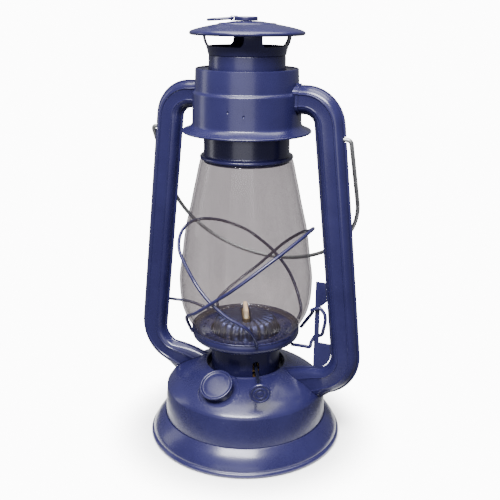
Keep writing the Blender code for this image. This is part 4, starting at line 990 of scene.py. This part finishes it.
@dataclass
class GlobeCarrier:
    """Glass globe, its plate and seat, the guard rings, the lift loop and the guide.

    A ring's route is given as degrees from +X towards +Y, the share of the height from its root
    to the highest point, and the share of the way out from the plate's rim to the glass.
    """

    plate_radius: float = 0.0399
    rim_z: float = 0.0866
    belly: tuple[float, float] = (0.0484, 0.1210)
    ring_wire: float = 0.0012
    ring_root: float = 0.0847
    ring_top: float = 0.1630
    right_stand_off: float = 0.0007
    left_stand_off: float = 0.0034
    lever_wire: float = 0.0013
    lever_start: float = math.radians(17.0)
    guide_start: float = math.radians(155.0)
    seat_holes: int = 36
    right_route: tuple[Triple, ...] = (
        (38.0, 0.014, 0.0), (43.0, 0.084, 0.40), (54.0, 0.156, 0.74), (64.5, 0.273, 1.0),
        (73.2, 0.404, 1.0), (86.6, 0.553, 1.0), (99.8, 0.674, 1.0), (114.2, 0.782, 1.0),
        (134.8, 0.878, 1.0), (153.6, 0.931, 1.0), (172.1, 0.951, 1.0), (187.3, 0.940, 1.0),
        (197.0, 0.905, 1.2), (206.0, 0.855, 1.25), (215.0, 0.797, 1.2), (223.4, 0.740, 1.0),
        (242.0, 0.645, 1.0), (253.5, 0.552, 1.0), (264.6, 0.452, 1.0), (278.7, 0.339, 1.0),
        (287.5, 0.288, 1.0), (294.1, 0.241, 1.0), (298.5, 0.169, 0.72), (302.0, 0.086, 0.33),
        (304.0, 0.014, 0.0))
    left_route: tuple[Triple, ...] = (
        (-136.0, 0.014, 0.0), (-137.0, 0.074, 0.18), (-130.0, 0.194, 0.53), (-115.0, 0.283, 0.83),
        (-106.6, 0.341, 1.0), (-93.6, 0.454, 1.0), (-78.4, 0.585, 1.0), (-66.2, 0.692, 1.0),
        (-51.1, 0.810, 1.0), (-39.2, 0.886, 1.0), (-24.6, 0.954, 1.0), (-11.0, 0.990, 1.0),
        (2.0, 1.0, 1.0), (16.0, 0.985, 1.0), (29.0, 0.947, 1.0), (42.5, 0.885, 1.0),
        (56.6, 0.824, 1.0), (76.3, 0.679, 1.0), (91.8, 0.513, 1.0), (101.8, 0.395, 1.0),
        (112.7, 0.284, 1.0), (127.5, 0.162, 0.78), (141.0, 0.067, 0.48), (146.0, 0.014, 0.0))

    def glass_path(self) -> Outline:
        """Outside of the glass from its foot to its mouth."""
        return curve2([(0.0355, 0.0836), (0.0382, 0.0860), (0.0396, 0.0885), (0.0438, 0.0956),
                       (0.0463, 0.1020), (0.0478, 0.1100), self.belly, (0.0481, 0.1280),
                       (0.0469, 0.1360), (0.0457, 0.1450), (0.0446, 0.1540), (0.0431, 0.1630),
                       (0.0411, 0.1716), (0.0391, 0.1803), (0.0373, 0.1890), (0.0354, 0.1975),
                       (0.0336, 0.2060), (0.0323, 0.2108)], 4)

    def glass_at(self, height: float) -> float:
        """Outside of the glass at a height, and that of its belly further down."""
        path = self.glass_path()
        for (low_r, low_z), (high_r, high_z) in zip(path, path[1:]):
            if self.belly[1] <= low_z <= height < high_z:
                return low_r + (high_r - low_r) * (height - low_z) / (high_z - low_z)
        return self.belly[0]

    def build(self, shop: Shop, tubes: SideTubes) -> None:
        """Make the carrier's pieces."""
        globe = shop.lathe(walled(self.glass_path(), 0.0016), Grade.LARGE, True, 0.0005)
        shop.deliver("glass_globe", globe, ["globe"], Body.CARRIER, shop.finishes.glass, 60.0)

        rim = arc((self.plate_radius - 0.0006, self.rim_z - 0.0006), 0.0006, 150, -60, 8)
        cup = rim + [(0.0394, 0.0852), (0.0396, 0.0848), (0.0399, 0.0836), (0.0399, 0.0822)]
        cup += curve2([(0.0398, 0.0816), (0.0391, 0.0797), (0.0370, 0.0780), (0.0335, 0.0771),
                       (0.0300, 0.0769)], 5)
        cup += [(0.0268, 0.0768), (0.0260, 0.0772)]
        plate = shop.lathe(walled(cup, -0.0007), Grade.LARGE, True, 0.0001)
        shop.deliver("globe_cup", plate, ["globe_plate"], Body.CARRIER, angle=30.0)
        seat = shop.lathe([(0.0260, 0.0825), (0.0388, 0.0825), (0.0388, 0.0833), (0.0350, 0.0833),
                           (0.0345, 0.0829), (0.0280, 0.0829), (0.0275, 0.0833), (0.0260, 0.0833)],
                          Grade.LARGE)
        seat = shop.shape(seat, shop.ring_of_holes(self.seat_holes, 0, 0.0312, 0.0010, (0.080, 0.086)))
        shop.deliver("globe_seat_ring", seat, ["globe_seat"], Body.CARRIER)

        self._guards(shop)
        self._lever(shop, tubes)

    def _guards(self, shop: Shop) -> None:
        """Make the two sloping rings, each with its ends turned in to the plate."""
        seat = self.plate_radius + 0.0001 + self.ring_wire
        for label, route, stand_off in (("right", self.right_route, self.right_stand_off),
                                        ("left", self.left_route, self.left_stand_off)):
            knots = []
            for degrees, rise, reach in route:
                angle = math.radians(degrees)
                height = self.ring_root + (self.ring_top - self.ring_root) * rise
                radius = seat + (self.glass_at(height) + stand_off + self.ring_wire - seat) * reach
                knots.append((math.cos(angle) * radius, math.sin(angle) * radius, height))
            shop.deliver("guard_ring_" + label, shop.wire(flowing(knots, 6), self.ring_wire),
                         ["guard_wire_" + label], Body.CARRIER, angle=60.0)

    def _lever(self, shop: Shop, tubes: SideTubes) -> None:
        """Make the lift loop round the bracket's band and the guide behind the left tube."""
        wire = self.lever_wire
        out = 0.0005 + FIT_GAP + wire
        left, right = tubes.edge_x, tubes.edge_x + tubes.band
        rim = self.plate_radius + 0.0001 + wire
        top, low, end_z, near, far = 0.1080, 0.0860, 0.0761, 0.0520, 0.0622
        knots = [(math.cos(self.lever_start) * rim, math.sin(self.lever_start) * rim, 0.0858),
                 (near - wire / 2, out / 2, top - 0.0048), (near, -out, top - 0.0015),
                 (right, -out, top + wire / 2), (right + (far - right) * 0.6, -out, 0.1067),
                 (far, -out - FIT_GAP, 0.1032), (far, -out - FIT_GAP, 0.0981),
                 (far - wire, -out * 0.7, 0.0926), (far - wire * 2, out * 0.2, 0.0882), (right, out, low),
                 (left, out + FIT_GAP, low - wire), (near - wire / 2, out * 0.4, 0.0801),
                 (near - wire, 0, end_z + wire / 2), (0.0458, 0, end_z + wire / 4), (0.0365, 0, end_z)]
        loop = shop.wire(flowing(knots, 8), wire)
        shop.deliver("lift_loop", loop, ["lift_lever"], Body.CARRIER, angle=60.0)
        rim = self.plate_radius + FIT_GAP + self.ring_wire
        behind = tubes.half_depth + 0.0005 + self.ring_wire
        inner = tubes.centre_x(0.0920) - tubes.half_width
        knots = [(math.cos(self.guide_start) * rim, math.sin(self.guide_start) * rim, 0.0847),
                 (-(rim + inner) / 2, behind * 1.7, 0.0898), (-inner, behind * 1.1, 0.0920),
                 (-inner - tubes.half_width, behind, 0.0920)]
        hook = shop.wire(flowing(knots, 8), self.ring_wire)
        shop.deliver("guide_hook", hook, ["guide_wire"], Body.CARRIER, angle=60.0)


@dataclass
class AirChamber:
    """Pressed chamber under the hood that the side tubes open into."""

    bore: float = 0.0334
    screen_holes: int = 40

    def wall(self) -> Outline:
        """Outside of the chamber from its flange to its top edge."""
        path = arc((0.0438, 0.2306), 0.0008, -110, 100, 10)
        path += curve2([(0.0425, 0.2319), (0.0402, 0.2330), (0.0386, 0.2342), (0.0378, 0.2353),
                        (0.0375, 0.2368)], 4)
        path += [(0.0371, 0.2550)]
        path += curve2([(0.0370, 0.2562), (0.0363, 0.2572), (0.0357, 0.2580), (0.0355, 0.2594)], 4)
        return path + [(0.0350, 0.2716), (0.0348, 0.2724), (0.0345, 0.2726)]

    def blank(self, shop: Shop, growth: float) -> Mesh:
        """Solid of the chamber's outside, grown by a gap."""
        path = beside(self.wall(), -growth)
        return shop.lathe([(0, path[0][1])] + path + [(0, path[-1][1])], Grade.MEDIUM, False, 0)

    def build(self, shop: Shop, tubes: SideTubes) -> None:
        """Make the chamber, its floor ring and the intake screen."""
        shell = shop.lathe(walled(self.wall(), SHEET), Grade.LARGE, True, 0.0001)
        for side in (0, 1):
            port = shop.sweep(tubes.bore(), tubes.frames(0)[:3])
            shell = shop.shape(shell, shop.moved(port, Matrix.Rotation(math.pi * side, 4, 'Z')))
        dimples = []
        for azimuth, height in ((4.0, 0.2470), (20.0, 0.2446)):
            ball = bmesh.new()
            bmesh.ops.create_uvsphere(ball, u_segments=16, v_segments=10, radius=0.0011)
            place = level_way(azimuth) * 0.0379 + Vector((0, 0, height))
            dimples.append(shop.moved(ball, Matrix.Translation(place)))
        shell = shop.shape(shell, shop.merged(dimples))
        shop.deliver("chamber_shell", shell, ["air_chamber"], angle=26.0)

        low = 0.2360
        rim = 0.0359
        floor = [(self.bore, low), (rim, low), (rim, low + 0.0024), (rim - SHEET, low + 0.0024),
                 (rim - SHEET, low + SHEET), (self.bore, low + SHEET)]
        shop.deliver("chamber_guide_ring", shop.lathe(floor, Grade.LARGE), ["chamber_floor"])
        top = 0.2718
        rings = [(0.0265, top - SHEET), (0.0338, top - SHEET), (0.0338, top), (0.0322, top),
                 (0.0318, top - 0.0003), (0.0285, top - 0.0003), (0.0281, top), (0.0265, top)]
        holes = shop.ring_of_holes(self.screen_holes, 0.3, 0.03015, 0.0009, (top - 0.003, top + 0.003))
        screen = shop.shape(shop.lathe(rings, Grade.LARGE), holes)
        shop.deliver("air_intake_ring", screen, ["intake_screen"])


@dataclass
class HoodAssembly:
    """Globe bell, chimney, crown, hood, boss and pull ring, and the spring under them."""

    crown_azimuth: float = 31.0
    leg_half_angle: float = math.radians(11.5)
    ring_azimuth: float = -67.0
    ring_wire: float = 0.0009
    pin_x: float = 0.0096
    lug_z: float = 0.3045
    ring_drop: float = math.radians(4.0)

    def hood_path(self) -> Outline:
        """Top of the hood from its rolled rim inwards, with two pressed rings."""
        rim = arc((0.0374, 0.2952), 0.0013, -100, 60, 10)
        dome = curve2([(0.0374, 0.2968), (0.0340, 0.2979), (0.0290, 0.2991), (0.0240, 0.3001),
                       (0.0205, 0.3007)], 5)
        rings = curve2([(0.0195, 0.3010), (0.0186, 0.3015), (0.0176, 0.3015), (0.0168, 0.3013),
                        (0.0150, 0.3017), (0.0120, 0.3022), (0.0092, 0.3026)], 4)
        return rim + dome + rings

    def build(self, shop: Shop) -> None:
        """Make the hood assembly's pieces and give the chimney spring its finish."""
        low = 0.2113
        bead = [(0.0300, low - 0.0018), (0.0300, low), (0.0315, low)]
        bead += arc((0.0312, low + 0.0014), 0.0014, -60, 100, 10)
        bell = bead + [(0.0302, low + 0.0036), (0.0299, low + 0.0044), (0.0298, 0.2296)]
        bell += curve2([(0.0296, 0.2302), (0.0290, 0.2310), (0.0276, 0.2335), (0.0260, 0.2365)], 4)
        bell = shop.lathe(walled(bell, 0.0007), Grade.LARGE, True, 0.0001)
        shop.deliver("globe_bell_ring", bell, ["globe_bell"], Body.HOOD)
        tube = [(0.0260, 0.2368), (0.0260, 0.2795), (0.0258, 0.2809)]
        tube = shop.lathe(walled(tube, SHEET), Grade.LARGE)
        shop.deliver("chimney_pipe", tube, ["chimney_tube"], Body.HOOD)
        self._crown(shop)
        self._hood(shop)
        shop.dress("chimney_spring", shop.finishes.wire)

    def _crown(self, shop: Shop) -> None:
        """Make the crown with its four windows."""
        path = curve2([(0.0262, 0.2812), (0.0269, 0.2844), (0.0276, 0.2867), (0.0286, 0.2889),
                       (0.0294, 0.2918), (0.0298, 0.2948), (0.0299, 0.2965), (0.0299, 0.2981)], 5)
        inside = beside(path, SHEET)[::-1]
        outline = path + inside + [(0.0249, 0.2808), (0.0241, 0.2806), (0.0241, 0.2772), (0.0249, 0.2772),
                                   (0.0249, 0.2798), (0.0258, 0.2812)]
        crown = shop.lathe(outline, Grade.LARGE, True, 0.0001)
        half = math.pi / 4 - self.leg_half_angle
        reach, corner, low, high = 0.045, 0.0060, 0.2868, 0.3040
        wide, depth = reach * math.sin(half), reach * math.cos(half)
        profile = [(-wide, high), (-wide, low + corner)]
        profile += [(-wide + corner + x, low + corner + z) for x, z in arc((0, 0), corner, 180, 270, 8)[1:]]
        profile += [(-x, z) for x, z in profile[::-1]]
        for index in range(4):
            window = bmesh.new()
            face = window.faces.new([window.verts.new((depth, across, z)) for across, z in profile])
            grown = bmesh.ops.extrude_face_region(window, geom=[face])["geom"]
            for vert in verts_in(grown):
                vert.co.x *= 0.3
                vert.co.y *= 0.3
            bmesh.ops.recalc_face_normals(window, faces=window.faces)
            middle = math.radians(self.crown_azimuth + 90 * (index + 0.5)) - math.pi / 2
            crown = shop.shape(crown, shop.moved(window, Matrix.Rotation(middle, 4, 'Z')))
        shop.deliver("crown_legs", crown, ["crown"], Body.HOOD, angle=26.0)

    def _hood(self, shop: Shop) -> None:
        """Make the hood disc, the boss with its lug, and the pull ring."""
        path = self.hood_path()
        inside = beside(path, 0.0007)
        hood = [(0, 0.3026)] + path[::-1] + inside + [(0, inside[-1][1])]
        hood = shop.lathe(hood, Grade.LARGE, False, 0.0001)
        shop.deliver("hood_disc", hood, ["hood"], Body.HOOD, angle=40.0)

        turn = Matrix.Rotation(math.radians(self.ring_azimuth) - math.pi / 2, 4, 'Z')
        boss = shop.lathe([(0, 0.3029), (0.0078, 0.3029), (0.0078, 0.3050), (0.0072, 0.3056),
                           (0.0045, 0.3056), (0.0041, 0.3053), (0, 0.3053)], Grade.MEDIUM, False, 0.0002)
        boss = shop.moved(boss, turn @ Matrix.Translation((0.0008, 0, 0)))
        lug = shop.slab([(0.0063, -0.0024), (0.0113, -0.0024), (0.0113, 0.0024), (0.0063, 0.0024)],
                        0.3029, 0.3061)
        shop.soften(lug, 0.0006, 60.0, 3)
        boss = shop.shape(boss, shop.moved(lug, turn), 'UNION')
        bore = shop.rod(self.ring_wire + FIT_GAP, -0.009, 0.009, 24)
        bore = shop.moved(bore, turn @ standing_on(Vector((self.pin_x, 0, self.lug_z)), Vector((0, 1, 0))))
        shop.deliver("hood_boss_cap", shop.shape(boss, bore), ["hood_boss"], Body.HOOD)

        half, length, corner = 0.0075, 0.0165, 0.0027
        side = [(0, 0), (0, half - corner)] + [(corner + x, half - corner + y) for x, y in
                                               arc((0, 0), corner, 180, 90, 6)]
        bow = [(length - half + x, y) for x, y in arc((0, 0), half, 90, 0, 12)]
        loop = side + bow
        loop += [(x, -y) for x, y in loop[-2:0:-1]]
        ring = shop.wire([Vector((x, y, 0)) for x, y in loop], self.ring_wire, True)
        place = Matrix.Translation(turn @ Vector((self.pin_x, 0, self.lug_z))) @ turn @ Matrix.Rotation(
            self.ring_drop, 4, 'Y')
        shop.deliver("pull_ring_wire", shop.moved(ring, place), ["hood_ring"], Body.PULL_RING, angle=60.0)


@dataclass
class Bail:
    """Bright wire bail hooked into the tubes and hanging behind the globe."""

    wire: float = 0.0015
    pivot_z: float = 0.2290
    length: float = 0.1194
    lean: float = math.radians(62.8)
    hook: float = 0.0060
    stand_off: float = 0.0016

    def points(self, tubes: SideTubes) -> list[Vector]:
        """Centre line from one hook over the bow to the other."""
        outer = tubes.centre_x(self.pivot_z) + tubes.half_width
        side = outer + self.stand_off + self.wire
        bend = self.wire * 2
        flat = [(outer - self.hook, 0.0), (side - bend, 0.0)]
        flat += [(side - bend + math.sin(a) * bend, bend - math.cos(a) * bend)
                 for a in (math.pi / 12 * i for i in range(1, 7))]
        straight = self.length - side * 0.9
        flat += [(side, straight * share) for share in (0.3, 0.6, 0.85)]
        for index in range(1, 33):
            angle = math.pi / 2 * index / 32
            flat.append((side * math.cos(angle), straight + (self.length - straight) * math.sin(angle)))
        whole = flat + [(-across, along) for across, along in flat[-2::-1]]
        return [Vector((across, along * math.cos(self.lean), self.pivot_z - along * math.sin(self.lean)))
                for across, along in whole]

    def build(self, shop: Shop, tubes: SideTubes) -> None:
        """Make the bail."""
        bow = shop.wire(self.points(tubes), self.wire)
        shop.deliver("bail_wire", bow, ["bail"], Body.BAIL, shop.finishes.wire, 60.0)


# Studio

@dataclass
class Studio:
    """Pale floor, white backdrop, soft boxes and the camera.

    The floor fades out between two distances from the foot. The backdrop is dimmer where a ray
    has come through more clear surfaces than the faded floor's one.
    """

    eye: Triple = (0.2081, -0.4831, 0.3123)
    azimuth: float = math.radians(23.0)
    pitch: float = math.radians(17.76)
    roll: float = math.radians(0.412)
    lens: float = 54.92
    floor_half: float = 0.8
    fade: tuple[float, float] = (0.070, 0.115)
    sky: tuple[Triple, float] = ((0.90, 0.91, 1.0), 0.32)
    backdrop: tuple[Triple, float] = ((1.0, 1.0, 1.0), 12.0)
    through_globe: tuple[Triple, float] = ((1.0, 0.93, 0.955), 1.0)
    clear_surfaces: float = 1.5
    aim_z: float = 0.15
    boxes: tuple[tuple[str, Triple, tuple[float, float], float], ...] = (
        ("front box", (0.14, -0.72, 1.10), (0.80, 0.34), 64.0),
        ("top box", (0.0, 0.15, 1.7), (1.8, 1.6), 80.0),
        ("fill box", (0.35, -1.5, 0.35), (1.5, 0.9), 11.0),
        ("side box", (-1.3, -0.2, 0.5), (0.35, 0.9), 3.0))

    def build(self) -> None:
        """Set the floor, the world, the lights and the camera."""
        self._floor()
        self._world()
        self._lights()
        self._camera()

    def _floor(self) -> None:
        """Lay a pale floor that fades into the backdrop."""
        body = bmesh.new()
        bmesh.ops.create_grid(body, x_segments=1, y_segments=1, size=self.floor_half)
        mesh = meshed("studio_floor", body)
        desk = ShaderDesk("pale floor")
        away = desk.node("ShaderNodeVectorMath", {"operation": "LENGTH"}, {0: desk.place()}, "Value")
        fade = desk.node("ShaderNodeMapRange", {"interpolation_type": "SMOOTHSTEP"}, {
            "Value": away, "From Min": self.fade[0], "From Max": self.fade[1],
            "To Min": 1.0, "To Max": 0.0})
        desk.set(Base_Color=(0.93, 0.93, 0.93, 1.0), Roughness=0.9, Specular_IOR_Level=0.1, Alpha=fade)
        mesh.materials.append(desk.material)
        floor = placed("studio_floor", mesh)

    @staticmethod
    def _mixed(tree: bpy.types.NodeTree, *sources: bpy.types.NodeSocket) -> bpy.types.NodeSocket:
        """Mix two shaders by a share that comes first."""
        mix = tree.nodes.new("ShaderNodeMixShader")
        for place, source in enumerate(sources):
            tree.links.new(source, mix.inputs[place])
        return mix.outputs[0]

    def _world(self) -> None:
        """Hang a weak sky, seen by the camera as a white backdrop that is dimmer through the globe."""
        world = bpy.data.worlds.new("studio")
        world.use_nodes = True
        tree = world.node_tree
        tree.nodes.remove(tree.nodes["Background"])
        glows = []
        for colour, strength in (self.sky, self.backdrop, self.through_globe):
            glow = tree.nodes.new("ShaderNodeBackground")
            glow.inputs["Color"].default_value = (*colour, 1.0)
            glow.inputs["Strength"].default_value = strength
            glows.append(glow.outputs[0])
        seen = tree.nodes.new("ShaderNodeLightPath")
        through = tree.nodes.new("ShaderNodeMath")
        through.operation = 'GREATER_THAN'
        through.inputs[1].default_value = self.clear_surfaces
        tree.links.new(seen.outputs["Transparent Depth"], through.inputs[0])
        ground = self._mixed(tree, through.outputs[0], glows[1], glows[2])
        shown = self._mixed(tree, seen.outputs["Is Camera Ray"], glows[0], ground)
        tree.links.new(shown, tree.nodes["World Output"].inputs["Surface"])
        bpy.context.scene.world = world

    def _lights(self) -> None:
        """Add the soft boxes, which all face the lantern's middle."""
        for name, place, size, power in self.boxes:
            light = bpy.data.lights.new(name, 'AREA')
            light.shape = 'RECTANGLE'
            light.size, light.size_y = size
            light.energy = power
            lamp = placed(name, light)
            lamp.location = place
            way = Vector((0, 0, self.aim_z)) - Vector(place)
            lamp.rotation_euler = way.to_track_quat('-Z', 'Y').to_euler()

    def _camera(self) -> None:
        """Stand the camera where the photographer stood."""
        forward = Vector((-math.sin(self.azimuth) * math.cos(self.pitch),
                          math.cos(self.azimuth) * math.cos(self.pitch), -math.sin(self.pitch)))
        level = Vector((math.cos(self.azimuth), math.sin(self.azimuth), 0))
        upright = level.cross(forward)
        right = level * math.cos(self.roll) + upright * math.sin(self.roll)
        up = upright * math.cos(self.roll) - level * math.sin(self.roll)
        data = bpy.data.cameras.new("view")
        data.lens = self.lens
        data.sensor_width = 36.0
        data.clip_start = 0.01
        camera = placed("view", data)
        turn = Matrix((right, up, -forward)).transposed().to_4x4()
        camera.matrix_world = Matrix.Translation(self.eye) @ turn
        bpy.context.scene.camera = camera


def main() -> None:
    """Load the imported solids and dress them, piece by piece."""
    logging.basicConfig(level=logging.INFO, format="%(name)s %(message)s")
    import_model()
    shop = Shop(Finishes())
    tubes, fount, chamber = SideTubes(), Fount(), AirChamber()
    fount.build(shop)
    Burner().build(shop)
    tubes.build(shop, chamber, fount)
    GlobeCarrier().build(shop, tubes)
    chamber.build(shop, tubes)
    HoodAssembly().build(shop)
    Bail().build(shop, tubes)
    Studio().build()


if __name__ == "__main__":
    main()
